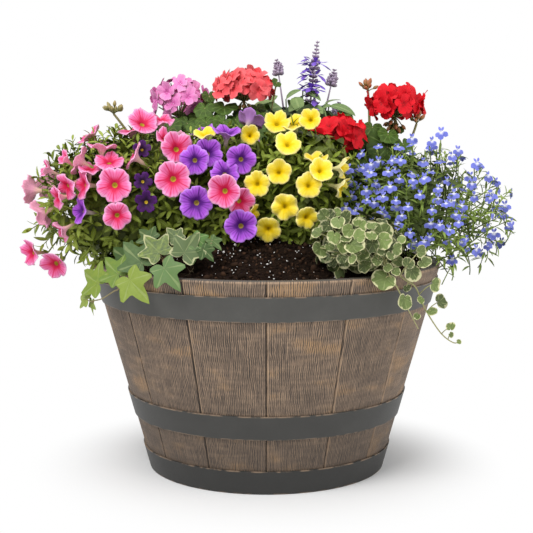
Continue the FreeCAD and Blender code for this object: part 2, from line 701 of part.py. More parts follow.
def leaf(half, joint, base, tip_way, facing):
    """Thin blade from base along tip_way, with a leaf stalk back to the joint on the stem."""
    other = [Vector(-point.x, point.y, 0) for point in reversed(half[1:-1])]
    thickness = size("leaf_thickness")
    blade = Part.Face(Part.makePolygon(half + other + half[:1])).extrude(Vector(0, 0, thickness))
    blade.translate(Vector(0, 0, -thickness / 2))
    along = tip_way.normalize()
    side = along.cross(facing).normalize()
    upward = side.cross(along)
    turned = Rotation(FreeCAD.Matrix(side.x, along.x, upward.x, 0, side.y, along.y, upward.y, 0,
                                     side.z, along.z, upward.z, 0, 0, 0, 0, 1))
    blade.Placement = Placement(base, turned)
    way = (base - joint).normalize()
    radius = size("petiole_diameter") / 2
    start = joint + way * (size("vine_diameter") / 2 + radius / 2 + size("seat_gap"))
    rib_length = 4 * thickness
    stalk = Part.makeCylinder(radius, (base - start).Length, start, base - start)
    knuckle = Part.makeSphere(radius, base)
    rib = Part.makeCylinder(radius, rib_length, base, along)
    return blade.multiFuse([stalk, knuckle, rib])


def leafy_stem(lead, route, half, stalk_length):
    """A trailing stem through its lead and its route, with leaves to left and right along the route."""
    points = lead + [rim_point(*place) for place in route]
    ways = [(end - start).normalize() for start, end in zip(points, points[1:])]
    ways.append(ways[-1])
    up = Vector(0, 0, 1)
    leaves = []
    for index in range(len(lead) + 1, len(points)):
        run = (ways[index - 1] + ways[index]).normalize()
        outward = Vector(points[index].x, points[index].y, 0).normalize()
        facing = (outward + up).normalize()
        side = run.cross(facing).normalize() * (1 if index % 2 else -1)
        lift = (facing - run * facing.dot(run)).normalize()
        base = points[index] + (side + lift).normalize() * stalk_length
        tip_way = side * LEAF_SIDE + outward * LEAF_OUTWARD - up * LEAF_HANG
        leaves.append(leaf(half, points[index], base, tip_way, facing))
    return stem(points, size("vine_diameter") / 2), leaves


def make_ivy():
    """Ivy: stems that leave the crown over the rim, with lobed leaves."""
    across, back, radius, top, depth = root_formulas("ivy")
    crown = Vector(number(across), number(back), number(f"{top} + dims.neck_reach - dims.vine_diameter"))
    stems = []
    leaves = []
    half = ivy_outline(size("ivy_leaf"))
    for route in IVY_VINES:
        way = rim_point(*route[0]) - crown
        way.z = 0
        way.normalize()
        start = crown + way * (neck_radius("ivy") + size("seat_gap"))
        lead = [start, start + way * size("vine_diameter")]
        vine, blades = leafy_stem(lead, route, half, size("ivy_petiole"))
        stems.append(vine)
        leaves.extend(blades)
    output(feature("IvyStems", Part.makeCompound(stems)), "ivy_stems")
    output(feature("IvyLeaves", Part.makeCompound(leaves)), "ivy_leaves")


def make_creeper_trails():
    """Variegated creeper: two stems that hang over the rim, with round leaves."""
    stems = []
    leaves = []
    half = round_outline(size("creeper_leaf"))
    centre, halves = mound_shape("creeper")
    for route in CREEPER_VINES:
        point, normal = on_mound("creeper", (rim_point(*route[0]) - centre).normalize())
        start = point + normal * size("seat_gap")
        lead = [start, start + normal * size("vine_diameter")]
        vine, blades = leafy_stem(lead, route, half, size("creeper_petiole"))
        stems.append(vine)
        leaves.extend(blades)
    output(feature("CreeperStems", Part.makeCompound(stems)), "creeper_stems")
    output(feature("CreeperLeaves", Part.makeCompound(leaves)), "creeper_leaves")


def make_tub():
    """Staves, hoops with their rivets, and the head."""
    for index in range(int(size("stave_count"))):
        make_stave(index)
    feet = {f"{place}_hoop": f"dims.{place}_hoop_foot" for place in ("top", "middle", "base")}
    for node, foot in feet.items():
        make_hoop(node, foot)
    make_rivets(feet.values())
    make_head()


def make_planting():
    """Potting mix and plants."""
    plants = list(MOUNDS) + ["ivy"]
    make_potting_mix(plants)
    keep_out = make_keep_out()
    for plant in plants:
        make_root_ball(plant)
    petunia = trumpet(size("petunia_bloom"), size("petunia_length"), size("petunia_tube"))
    for plant, blooms in PETUNIA_BLOOMS.items():
        make_foliage(plant, f"{plant}_foliage", keep_out)
        make_blooms(f"{plant}_flowers", blooms, petunia)
    lobelia = trumpet(size("lobelia_bloom"), size("lobelia_length"), size("lobelia_tube"))
    make_foliage("lobelia", "lobelia_foliage", keep_out)
    make_blooms("lobelia_flowers", {"lobelia": spiral_places("lobelia", size("lobelia_length"))}, lobelia)
    for plant in HEADS:
        make_geranium(plant, keep_out)
    make_salvia(keep_out)
    make_ivy()
    make_foliage("creeper", "creeper_foliage", keep_out)
    make_creeper_trails()


def check_and_write():
    """Stop on any failed object or bad shape, then write one file for each sub-part."""
    doc.recompute()
    for thing in doc.Objects:
        if "Invalid" in thing.State or "Error" in thing.State:
            raise RuntimeError(f"{thing.Label} failed: {thing.State}")
    for thing in outputs:
        if thing.Shape.isNull() or not thing.Shape.isValid():
            raise RuntimeError(f"{thing.Label} has no valid shape")
    os.makedirs("parts", exist_ok=True)
    for thing in outputs:
        thing.Shape.exportStep(f"parts/{thing.Label}.step")


fill_sheet()
make_tub()
make_planting()
check_and_write()
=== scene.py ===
import math
from functools import partial

import bpy
import numpy as np
from bpy.props import FloatProperty, FloatVectorProperty, IntProperty, PointerProperty
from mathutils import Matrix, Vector
from mathutils.bvhtree import BVHTree


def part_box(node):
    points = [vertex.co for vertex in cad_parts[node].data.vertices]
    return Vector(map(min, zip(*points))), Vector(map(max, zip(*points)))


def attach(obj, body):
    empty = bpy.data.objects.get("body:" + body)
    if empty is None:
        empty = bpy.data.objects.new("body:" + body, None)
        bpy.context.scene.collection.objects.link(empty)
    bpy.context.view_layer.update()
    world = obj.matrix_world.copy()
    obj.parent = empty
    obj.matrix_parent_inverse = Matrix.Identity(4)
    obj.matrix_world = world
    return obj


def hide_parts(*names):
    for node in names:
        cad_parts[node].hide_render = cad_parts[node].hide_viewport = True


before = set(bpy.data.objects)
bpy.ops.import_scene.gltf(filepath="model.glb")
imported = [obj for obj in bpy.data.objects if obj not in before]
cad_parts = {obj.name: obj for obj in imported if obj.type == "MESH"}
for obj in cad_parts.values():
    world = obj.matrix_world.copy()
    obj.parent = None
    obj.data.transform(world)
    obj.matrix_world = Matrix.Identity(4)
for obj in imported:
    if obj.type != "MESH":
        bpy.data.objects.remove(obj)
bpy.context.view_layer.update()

bl_info = {
    "name": "Planted Barrel Tub",
    "version": (1, 0, 0),
    "blender": (4, 5, 0),
    "location": "3D View > Sidebar > Planter",
    "description": "Finishes the barrel tub and grows its planting",
    "category": "Add Mesh",
}

# Lengths are metres, in the tub's frame: the front faces -Y and the floor is Z = 0.
GOLDEN = math.pi * (3 - math.sqrt(5))
ROUND = 2 * math.pi
MM_PER_METRE = 1000
UP = np.array((0.0, 0.0, 1.0))
BACK = np.array((0.0, 1.0, 0.0))
VIEWER = np.array((0.0, -1.0, 0.0))
WHITE = (1.0, 1.0, 1.0)
TINY = 1e-9
# Starts of the random draws
SEEDS = {"mix": 11, "petunias": 23, "lobelia": 37, "geranium": 41, "salvia": 53, "ivy": 61, "creeper": 71}
# Light paths on which the surroundings show white
SEEN_RAYS = ("Is Camera Ray", "Is Glossy Ray", "Is Transmission Ray")

# The photograph's camera: place, downward pitch in radians, focal length and frame in pixels
CAMERA_PLACE = np.array((0.0, -1.8, 0.5137))
CAMERA_PITCH = 0.1187
FOCAL_PIXELS = 1200.8
FRAME_PIXELS = 533
SENSOR_WIDTH = 36.0

STAVES = [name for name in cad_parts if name.startswith("stave_")]
# Hoops with a factor for their paint: painted shade, darker on the lower hoops towards the floor
HOOP_PAINTED_SHADES = {"top_hoop": 0.86, "middle_hoop": 0.51, "base_hoop": 0.28}
PETUNIA_MOUNDS = ("pink_petunia_foliage", "violet_petunia_foliage", "yellow_petunia_foliage")
ROOTS = [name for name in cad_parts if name.endswith("_roots")]

# Petunia blooms seen in the photograph: pixel across and down, diameter in pixels, the way the bloom faces
# in degrees, to the right of the viewer and upwards, and how far its foot stands out of the leaves in mm
PINK_BLOOMS = (
    (114, 185, 36, -4, 6, 6), (117, 216, 29, 6, -6, 4), (173, 179, 37, 2, 4, 8),
    (177, 148, 34, 16, 22, 2), (224, 191, 35, -12, 4, 18), (241, 202, 30, 28, -10, 0),
    (143, 122, 31, 24, 46, 6), (82, 185, 30, -58, 4, 8), (65, 187, 28, -46, -18, 10),
    (31, 190, 30, -104, 4, 14), (40, 214, 32, -100, -24, 12), (102, 145, 31, -16, 96, 14),
    (78, 160, 31, -98, 30, 16), (109, 160, 30, 4, 62, 6), (132, 155, 30, -82, 38, 10),
    (162, 118, 26, 50, 80, 4), (30, 253, 27, -48, 2, 2), (54, 265, 30, -22, -16, 2),
    (165, 137, 20, 30, 50, 0), (60, 232, 24, -70, -30, 10), (56, 198, 26, -62, -6, 10),
    (46, 169, 18, -72, 25, 6), (64, 158, 16, -60, 40, 12), (90, 168, 24, 30, 80, 14),
)
VIOLET_BLOOMS = (
    (194, 160, 31, -8, 6, 14), (208, 153, 30, 12, 16, -8), (241, 159, 31, 2, 6, 4),
    (196, 203, 35, -4, 2, 6), (241, 226, 34, 2, 4, 12), (225, 172, 30, 6, 34, 0),
    (227, 132, 30, 26, 74, 4), (251, 120, 29, 150, 40, 2), (80, 211, 27, -56, 10, 4),
)
DARK_BLOOMS = ((142, 149, 19, 4, 24, 2), (143, 181, 20, 14, 20, 2), (146, 202, 23, 2, 10, 2))
# Leafy sprigs of the pink petunia outside its mound: pixel of the tip and depth
PINK_SPRIGS = (
    (42, 246, -0.09), (58, 257, -0.1), (84, 261, -0.12), (36, 177, -0.05), (50, 164, -0.03),
    (66, 149, -0.05), (30, 230, -0.08), (47, 205, -0.12), (70, 244, -0.12), (92, 140, -0.05),
)
YELLOW_BLOOMS = (
    (277, 122, 27, 0, 38, 4), (250, 135, 20, 4, 14, 4), (310, 119, 23, -14, 18, 4),
    (288, 143, 27, 8, 36, 2), (279, 172, 26, 0, 10, 2), (257, 184, 27, -6, 6, 2),
    (321, 170, 26, 16, 22, 4), (309, 185, 27, 6, 16, 6), (285, 207, 28, 0, 0, 4),
    (307, 218, 24, 12, -8, 2), (268, 230, 27, -4, -10, 2), (343, 168, 22, 74, 4, 4),
    (342, 188, 22, 70, -12, 4), (205, 133, 25, -30, 74, 4), (316, 158, 25, 4, 84, 2),
    (255, 214, 20, 64, 10, 2),
)

# Geranium heads: centre, half width, half height, florets, petal length, and the lowest floret as a share
# of the half height
GERANIUM_HEADS = {
    "orchid": (((-0.137, 0.1, 0.5505), 0.046, 0.036, 21, 0.016, -0.66),),
    "coral": (((-0.036, 0.085, 0.5685), 0.05, 0.027, 36, 0.0162, -0.4),),
    "red": (
        ((0.107, 0.03, 0.4965), 0.043, 0.029, 25, 0.0185, -0.6),
        ((0.2, 0.078, 0.5435), 0.046, 0.028, 33, 0.0175, -0.5),
    ),
}
# Part of the view kept free for the lower red head: pixel and radius in pixels
HEAD_VIEW = {"pink": (0, 0, 0), "violet": (0, 0, 0), "yellow": (338, 130, 31)}
# How far the shoots in that part are sunk
LOW_SHOOT = 0.026
# Clusters of closed buds beside the heads: place of the cluster
BUD_CLUSTERS = {
    "orchid": ((-0.236, 0.07, 0.528),),
    "coral": (),
    "red": ((0.159, 0.1, 0.563), (0.232, 0.07, 0.513)),
}
# Salvia spikes: foot, tip, and length of the flowering part
SALVIA_SPIKES = (
    ((0.066, 0.174, 0.5), (0.083, 0.183, 0.647), 0.112),
    ((0.033, 0.172, 0.5), (0.0165, 0.183, 0.616), 0.024),
    ((0.088, 0.174, 0.5), (0.111, 0.184, 0.6), 0.026),
    ((0.014, 0.225, 0.47), (0.004, 0.243, 0.553), 0.024),
    ((0.105, 0.225, 0.47), (0.122, 0.243, 0.548), 0.024),
)
# Salvia leaves seen above the blooms: pixel of the foot and of the tip, width in pixels, depth of foot and
# tip, and lean towards the viewer
SALVIA_LEAVES = (
    (286, 99, 300, 89, 9, 0.172, 0.165, 0.5), (274, 101, 251, 110, 9, 0.168, 0.15, 0.3),
    (281, 107, 258, 115, 15, 0.16, 0.142, 0.8), (295, 97, 300, 113, 11, 0.165, 0.15, 1.2),
    (303, 90, 320.5, 101, 9, 0.172, 0.16, 0.4), (329, 106, 355, 116, 12, 0.17, 0.155, 0.45),
    (325, 104, 340.6, 99.6, 5, 0.172, 0.19, 0.1), (320, 110, 331, 105, 8, 0.17, 0.165, 0.5),
    (270, 103, 277, 95, 7, 0.176, 0.18, 0.4), (310, 107, 323, 114, 10, 0.165, 0.15, 0.6),
    (300, 104, 289, 112, 9, 0.165, 0.15, 0.6), (338, 111, 353, 121, 10, 0.165, 0.15, 0.6),
)
# Geranium leaves seen above the blooms: pixel, radius in pixels, degrees to the right and upwards that the
# leaf faces, and depth
GERANIUM_LEAVES = {
    "orchid": (
        (150, 122, 11, -15, 40, 0.06), (164, 123, 12, 0, 45, 0.07), (181, 120, 11, 10, 40, 0.08),
        (206, 103, 9, 10, 35, 0.1), (140, 130, 11, -20, 35, 0.05), (187, 125, 12, 0, 30, 0.06),
        (172, 127, 12, -8, 35, 0.05), (198, 117, 11, 12, 48, 0.08),
    ),
    "coral": (
        (223, 108, 16, 0, 62, 0.06), (209, 97, 8, 15, 30, 0.08), (204, 110, 12, -10, 40, 0.06),
        (214, 118, 13, 0, 45, 0.05), (258, 109, 10, 10, 50, 0.11), (252, 118, 12, 15, 35, 0.05),
        (276, 83, 6, 35, 30, 0.09), (264, 120, 11, 10, 40, 0.05), (236, 121, 12, -10, 40, 0.05),
        (222, 123, 11, 6, 30, 0.04), (244, 112, 11, -4, 55, 0.12), (206, 124, 12, 5, 40, 0.04),
        (196, 128, 11, -8, 42, 0.03), (216, 130, 10, 4, 35, 0.03),
    ),
    "red": (
        (372, 129, 12, 0, 42, 0.06), (356, 143, 11, -10, 35, 0.05), (388, 136, 12, 15, 40, 0.05),
        (404, 146, 11, 20, 40, 0.05), (345, 121, 10, -5, 40, 0.08), (362, 133, 10, 5, 45, 0.07),
        (396, 128, 9, 10, 45, 0.08),
    ),
}
# Trailing stems seen in the photograph: pixel across and down, and distance from the tub's axis
IVY_TRAILS = (
    ((150, 262, 0.252), (135, 272, 0.27), (119.6, 288, 0.28), (113.4, 291.6, 0.284), (101.8, 298.8, 0.29),
     (92, 301, 0.294)),
    ((140, 258, 0.246), (122, 262, 0.262), (108, 272, 0.276), (100, 281, 0.286)),
    ((165, 258, 0.24), (164, 266, 0.262), (160, 272, 0.268)),
    ((180, 254, 0.236), (192, 250, 0.228), (204, 246, 0.222), (212, 243, 0.218)),
)
CREEPER_TRAILS = (
    ((385.5, 266, 0.268), (390.6, 276.6, 0.276), (396.7, 286.8, 0.28), (400.8, 295, 0.28),
     (408, 309.3, 0.279), (418.2, 328.7, 0.279)),
    ((389.6, 266, 0.27), (404.9, 279.7, 0.281), (415.6, 287.3, 0.284), (425.3, 309.3, 0.288),
     (440.6, 332.8, 0.3), (452.9, 342.5, 0.314), (459.5, 342, 0.318)),
)

# Ivy leaves seen in the photograph: pixel of the stalk's joint and of the tip, distance from the tub's axis,
# the way the leaf faces in degrees to the right and upwards, and its shade from old to young and pale-edged
IVY_LEAVES = (
    (97.8, 282.7, 81.3, 268.8, 0.288, -40, 20, 0.55), (117.9, 273.8, 103.6, 255.9, 0.274, -30, 30, 0.5),
    (141.5, 262.6, 121.9, 240.3, 0.262, -20, 30, 0.2),
    (158.5, 251.9, 142.9, 232.7, 0.25, -10, 35, 0.72), (184.4, 252.8, 200.0, 230.0, 0.244, 5, 30, 0.84),
    (129.9, 280.0, 147.3, 302.8, 0.278, -20, 22, 0.6),
    (164.3, 268.4, 179.9, 290.7, 0.27, -10, 25, 0.34), (195.5, 238.0, 208.9, 249.2, 0.222, 10, 40, 0.4),
    (194.6, 250.5, 192.9, 264.8, 0.236, 0, 20, 0.3), (203.6, 249.6, 214.3, 261.3, 0.23, 15, 30, 0.12),
    (92.0, 302.3, 92.0, 316.6, 0.292, -60, 0, 0.62), (86.5, 299.2, 78.1, 295.6, 0.296, -50, 20, 0.66),
    (176.0, 238.0, 166.0, 226.0, 0.226, -5, 40, 0.75),
    (150.0, 238.0, 138.0, 228.0, 0.236, -20, 40, 0.16),
    (212.0, 240.0, 222.0, 250.0, 0.214, 20, 40, 0.22),
    (126.0, 258.0, 112.0, 246.0, 0.254, -35, 35, 0.14),
)
# Creeper leaves seen in the photograph: pixel of the middle, diameter in pixels, and the way of the tip
# in degrees from straight down to the right
CREEPER_LEAVES = (
    (383, 281, 23, -40), (365, 267, 14.5, -20), (412, 274, 18, 10), (404, 302, 17, -10),
    (384, 231, 18.5, 170), (355, 247, 20, 60), (319, 250.5, 17, -20), (348, 231, 13.5, -60),
    (359, 235, 14.5, 150), (333.5, 238, 15, -10), (317, 233, 13, -90), (326, 226.5, 12.5, -60),
    (338, 223, 14, -10), (346.7, 217, 14, 120), (341.6, 247, 15, -20), (373, 246, 15, 0),
    (380, 252, 11, 40), (397, 249, 13, 80), (341.6, 259, 10, 0), (352, 259, 10, 30), (398, 262, 11, 20),
    (408.5, 263, 12, 150), (421, 251, 12.5, 110), (425, 263, 14, 60), (435, 285, 14, 60),
    (441, 301.6, 14.5, 100), (432, 312, 11, 60), (417, 316.5, 7.5, -30), (451, 326.5, 9.5, 170),
    (451, 335, 6, 40), (459, 342, 5.5, 80), (384.5, 241, 17, 60), (371, 236, 12, -160),
    (361, 225.6, 14, 100), (323, 215, 13, -120), (330, 214, 11.5, 160), (390, 256, 9, -20),
    (365, 256, 11, 20), (330, 247, 10, 40), (402, 240, 10, 120), (376, 262, 10, -50),
    (346, 239, 11, 30), (388, 268, 9, 40), (372, 226, 11, 160), (338, 212, 9, 100), (396, 272, 10, 70),
    (407, 288, 8, 20), (421, 300, 8, -40), (357, 222, 10, -140), (327, 258, 9, -60),
)
# Lobelia flowers at the front and over the yellow petunia: pixels of the photograph
LOBELIA_FRONT = (
    (368, 171), (360, 162), (352, 195), (366, 190), (358, 207), (374, 202), (382, 211), (388, 171),
    (390, 186), (398, 223), (402, 215), (424, 241), (351, 181), (346, 207), (372, 221), (387, 229),
    (353, 222), (366, 152), (378, 160), (376, 183), (396, 200), (410, 232), (383, 196), (348, 168),
    (408, 206), (392, 160), (424, 178), (438, 188), (446, 203), (432, 209), (456, 214), (420, 194),
    (440, 224), (454, 193), (462, 205),
)
# Where the lobelia and the pink petunia open towards their outer sides: two places from left to right, and
# the shares of the shoots that grow there
LOBELIA_AIRY = ((0.17, 0.29), (1.0, 0.55))
PINK_AIRY = ((-0.31, -0.2), (0.45, 1.0))
# Ends of the lobelia's outer sprays: pixels of the photograph
LOBELIA_SPRAYS = (
    (412, 138), (432, 141), (441, 132), (458, 150), (477, 163), (470, 176), (496, 181), (489, 197),
    (505, 205), (509, 226), (494, 233), (503, 214), (481, 252), (452, 259), (488, 245), (466, 247),
)

# Petals of a lobelia flower: angle in degrees, length and width as shares of the longest petal
LOBELIA_PETALS = ((-90, 1.0, 0.7), (-36, 1.0, 0.66), (-144, 1.0, 0.66), (66, 0.72, 0.3), (114, 0.72, 0.3))
# Lips of a salvia flower: lift, turn to the side, length and width
SALVIA_LIPS = ((0.55, 0.0, 0.0145, 0.0075), (-0.25, 0.4, 0.0195, 0.009), (-0.25, -0.4, 0.0195, 0.009))

# Petunia petals beside their main colour
PETUNIA_PETALS = {
    "pink": {"eye": (0.46, 0.36, 0.03), "throat": (0.62, 0.012, 0.075), "edge": (0.92, 0.45, 0.7),
             "back": (0.98, 0.43, 0.59), "veins": 0.6},
    "violet": {"eye": (0.36, 0.25, 0.05), "throat": (0.09, 0.008, 0.2), "edge": (0.56, 0.25, 0.82),
               "back": (0.46, 0.22, 0.56), "veins": 0.6},
    "yellow": {"eye": (0.56, 0.4, 0.0), "throat": (0.86, 0.6, 0.0), "edge": (0.94, 0.83, 0.34),
               "back": (0.9, 0.82, 0.4), "veins": 0.25},
    "dark": {"eye": (0.6, 0.42, 0.03), "throat": (0.02, 0.002, 0.03), "edge": (0.1, 0.014, 0.17),
             "back": (0.08, 0.02, 0.12), "veins": 0.4},
}
DARK_VIOLET = (0.055, 0.006, 0.1)
# Geranium florets beside their main colour, and the buds
GERANIUM_PETALS = {
    "orchid": {"eye": (0.56, 0.1, 0.34), "pale": (1.0, 0.82, 0.92), "bud": (0.42, 0.3, 0.13)},
    "coral": {"eye": (0.7, 0.04, 0.05), "pale": (1.0, 0.42, 0.42), "bud": (0.42, 0.2, 0.08)},
    "red": {"eye": (0.36, 0.003, 0.008), "pale": (0.9, 0.03, 0.04), "bud": (0.5, 0.1, 0.05)},
}

# Rows of a round leaf from the stalk's joint over the rim to the under side: distance from the joint and
# depth under the upper side as shares of the radius, and painting coordinate
LEAF_ROWS = np.array((
    (0.0, 0.0, 0.0), (0.34, 0.0, 0.34), (0.7, 0.0, 0.7), (1.0, 0.006, 1.0), (0.55, 0.02, 1.45),
    (0.0, 0.02, 2.0),
))
# Outlines of round leaves about the point where the leaf stalk joins:
# angle from the tip in degrees and radius as a share of the leaf's length
IVY_OUTLINE = (
    (0, 1.0), (16, 0.66), (30, 0.47), (44, 0.6), (58, 0.8), (72, 0.6), (88, 0.42), (106, 0.46),
    (122, 0.54), (140, 0.4), (156, 0.3), (170, 0.16), (180, 0.06),
)
GERANIUM_OUTLINE = (
    (0, 0.96), (10, 1.0), (20, 0.93), (30, 1.0), (40, 1.0), (50, 0.91), (60, 0.97), (72, 0.97),
    (82, 0.87), (92, 0.93), (104, 0.93), (114, 0.82), (126, 0.86), (138, 0.82), (150, 0.74),
    (162, 0.62), (170, 0.4), (180, 0.12),
)
CREEPER_OUTLINE = (
    (0, 0.94), (12, 1.0), (40, 0.97), (70, 0.86), (100, 0.71), (130, 0.56), (155, 0.42), (170, 0.24),
    (180, 0.1),
)
PETAL_OUTLINE = (
    (0, 0.94), (10, 1.0), (24, 0.96), (36, 0.82), (46, 0.64), (58, 0.42), (74, 0.25), (105, 0.12),
    (140, 0.07), (180, 0.05),
)

# Bloom of a petunia from the eye over the edge to the foot of the tube:
# painting coordinate, radius as a share of the limb, height as a share of the length
PETUNIA_PROFILE = np.array((
    (0.0, 0.0, 0.68), (0.1, 0.075, 0.7), (0.18, 0.13, 0.78), (0.3, 0.25, 0.885), (0.48, 0.48, 0.95),
    (0.7, 0.74, 0.985), (0.88, 0.92, 1.0), (1.0, 1.0, 0.985), (1.1, 0.97, 0.955), (1.25, 0.78, 0.94),
    (1.45, 0.52, 0.89), (1.6, 0.29, 0.78), (1.75, 0.165, 0.6), (1.92, 0.1, 0.04), (2.0, 0.0, 0.0),
))


Colour = partial(FloatVectorProperty, subtype="COLOR")
Length = partial(FloatProperty, unit="LENGTH")


class TubSettings(bpy.types.PropertyGroup):
    """Finish of the staves and hoops."""

    dark: Colour(name="Dark Stain", description="Colour in the grain", default=(0.033, 0.027, 0.023))
    brown: Colour(name="Brown", description="Main colour of the staves", default=(0.17, 0.122, 0.089))
    copper: Colour(name="Copper", description="Rubbed highlights", default=(0.4, 0.277, 0.182))
    gold: Colour(name="Gold", description="Warm patches", default=(0.4, 0.235, 0.105))
    hoop: Colour(name="Hoop Grey", description="Paint of the hoops", default=(0.077, 0.0755, 0.0685))
    grain: Length(name="Grain Pitch", description="From one combed line to the next", default=0.0026)
    staves: IntProperty(name="Staves", description="Staves round the tub", default=len(STAVES))


class MixSettings(bpy.types.PropertyGroup):
    """Potting mix."""

    earth: Colour(name="Earth", description="Colour of the mix", default=(0.0105, 0.0057, 0.0034))
    crumbs: IntProperty(name="Crumbs", description="Lumps of bark on the surface", default=5200)
    grains: IntProperty(name="Perlite Grains", description="White grains on the surface", default=520)
    crumb: Length(name="Crumb Size", description="Length of a lump", default=0.0055)


class PetuniaSettings(bpy.types.PropertyGroup):
    """Petunias."""

    length: Length(name="Bloom Length", description="Tube and limb", default=0.03)
    leaf_length: Length(name="Leaf Length", description="Blade", default=0.025)
    leaf_width: Length(name="Leaf Width", description="Blade", default=0.0075)
    shoots: IntProperty(name="Shoots", description="Leafy shoots on each mound", default=190)
    leaves: IntProperty(name="Leaves", description="Leaves on each shoot", default=11)
    green: Colour(name="Leaf Green", description="Leaves", default=(0.18, 0.235, 0.022))
    pink: Colour(name="Pink", description="Petals", default=(0.82, 0.17, 0.4))
    violet: Colour(name="Violet", description="Petals", default=(0.42, 0.09, 0.68))
    yellow: Colour(name="Yellow", description="Petals", default=(0.92, 0.74, 0.07))


class LobeliaSettings(bpy.types.PropertyGroup):
    """Lobelia."""

    petal: Length(name="Petal", description="Length of a lower petal", default=0.0112)
    shoots: IntProperty(name="Shoots", description="Shoots on the mound", default=260)
    leaves: IntProperty(name="Leaves", description="Leaves on each shoot", default=10)
    blue: Colour(name="Blue", description="Petals", default=(0.165, 0.19, 0.66))
    green: Colour(name="Leaf Green", description="Leaves", default=(0.19, 0.27, 0.05))


class GeraniumSettings(bpy.types.PropertyGroup):
    """Geraniums."""

    leaf: Length(name="Leaf", description="Leaf radius", default=0.034)
    leaves: IntProperty(name="Leaves", description="Leaves tried on each mound", default=900)
    green: Colour(name="Leaf Green", description="Leaves", default=(0.058, 0.108, 0.014))
    orchid: Colour(name="Orchid", description="Petals", default=(0.8, 0.22, 0.54))
    coral: Colour(name="Coral", description="Petals", default=(0.88, 0.092, 0.108))
    red: Colour(name="Red", description="Petals", default=(0.72, 0.005, 0.016))


class SalviaSettings(bpy.types.PropertyGroup):
    """Salvia."""

    leaf_length: Length(name="Leaf Length", description="Blade", default=0.052)
    leaf_width: Length(name="Leaf Width", description="Blade", default=0.026)
    shoots: IntProperty(name="Shoots", description="Shoots on the mound", default=70)
    violet: Colour(name="Violet", description="Flowers", default=(0.21, 0.11, 0.56))
    calyx: Colour(name="Calyx", description="Calyces", default=(0.24, 0.19, 0.26))
    green: Colour(name="Leaf Green", description="Leaves", default=(0.15, 0.23, 0.085))


class TrailSettings(bpy.types.PropertyGroup):
    """Ivy and creeper."""

    creeper_leaf: Length(name="Creeper Leaf", description="Length of a blade", default=0.023)
    ivy: Colour(name="Ivy Green", description="Ivy leaves", default=(0.075, 0.16, 0.035))
    creeper: Colour(name="Creeper Green", description="Creeper leaves", default=(0.125, 0.17, 0.05))
    cream: Colour(name="Cream", description="Pale margins", default=(0.66, 0.64, 0.36))


class StageSettings(bpy.types.PropertyGroup):
    """Floor and light."""

    floor: Length(name="Floor Size", description="Side of the floor", default=40.0)
    key: FloatProperty(
        name="Key Light", description="Power of the main light", subtype="POWER", default=62.0)
    fill: FloatProperty(
        name="Fill Light", description="Power of the fill light", subtype="POWER", default=18.0)
    sky: FloatProperty(name="Sky", description="Strength of the even light from all round", default=0.5)


class PlanterSettings(bpy.types.PropertyGroup):
    """Everything that a user would change."""

    tub: PointerProperty(type=TubSettings)
    mix: PointerProperty(type=MixSettings)
    petunia: PointerProperty(type=PetuniaSettings)
    lobelia: PointerProperty(type=LobeliaSettings)
    geranium: PointerProperty(type=GeraniumSettings)
    salvia: PointerProperty(type=SalviaSettings)
    trail: PointerProperty(type=TrailSettings)
    stage: PointerProperty(type=StageSettings)


# Shader expressions


class Term:
    """A node socket in a Python expression: each operator adds a Math node."""

    def __init__(self, nodes, socket):
        self.nodes = nodes
        self.socket = socket

    def math(self, operation, *values):
        """This value put through one Math operation with further values."""
        inputs = dict(enumerate((self,) + values))
        return self.nodes.node("ShaderNodeMath", {"operation": operation}, inputs)

    def __add__(self, other):
        return self.math("ADD", other)

    __radd__ = __add__

    def __sub__(self, other):
        return self.math("SUBTRACT", other)

    def __rsub__(self, other):
        return (self * -1.0) + other

    def __mul__(self, other):
        return self.math("MULTIPLY", other)

    __rmul__ = __mul__

    def __truediv__(self, other):
        return self.math("DIVIDE", other)

    def fraction(self):
        """Part after the whole number."""
        return self.math("FRACT")

    def whole(self):
        """Next lower whole number."""
        return self.math("FLOOR")

    def size(self):
        """Value without its sign."""
        return self.math("ABSOLUTE")

    def over(self, limit):
        """1 above the limit, else 0."""
        return self.math("GREATER_THAN", limit)

    def ease(self, low, high):
        """0 up to low, 1 from high, smooth between."""
        inputs = {"Value": self, "From Min": low, "From Max": high}
        return self.nodes.node("ShaderNodeMapRange", {"interpolation_type": "SMOOTHSTEP"}, inputs)

    def fade(self, low, high):
        """1 up to low, 0 from high, smooth between."""
        return 1.0 - self.ease(low, high)

    def off_middle(self):
        """Distance from the middle of each whole unit, 0 to 0.5."""
        return (self.fraction() - 0.5).size()


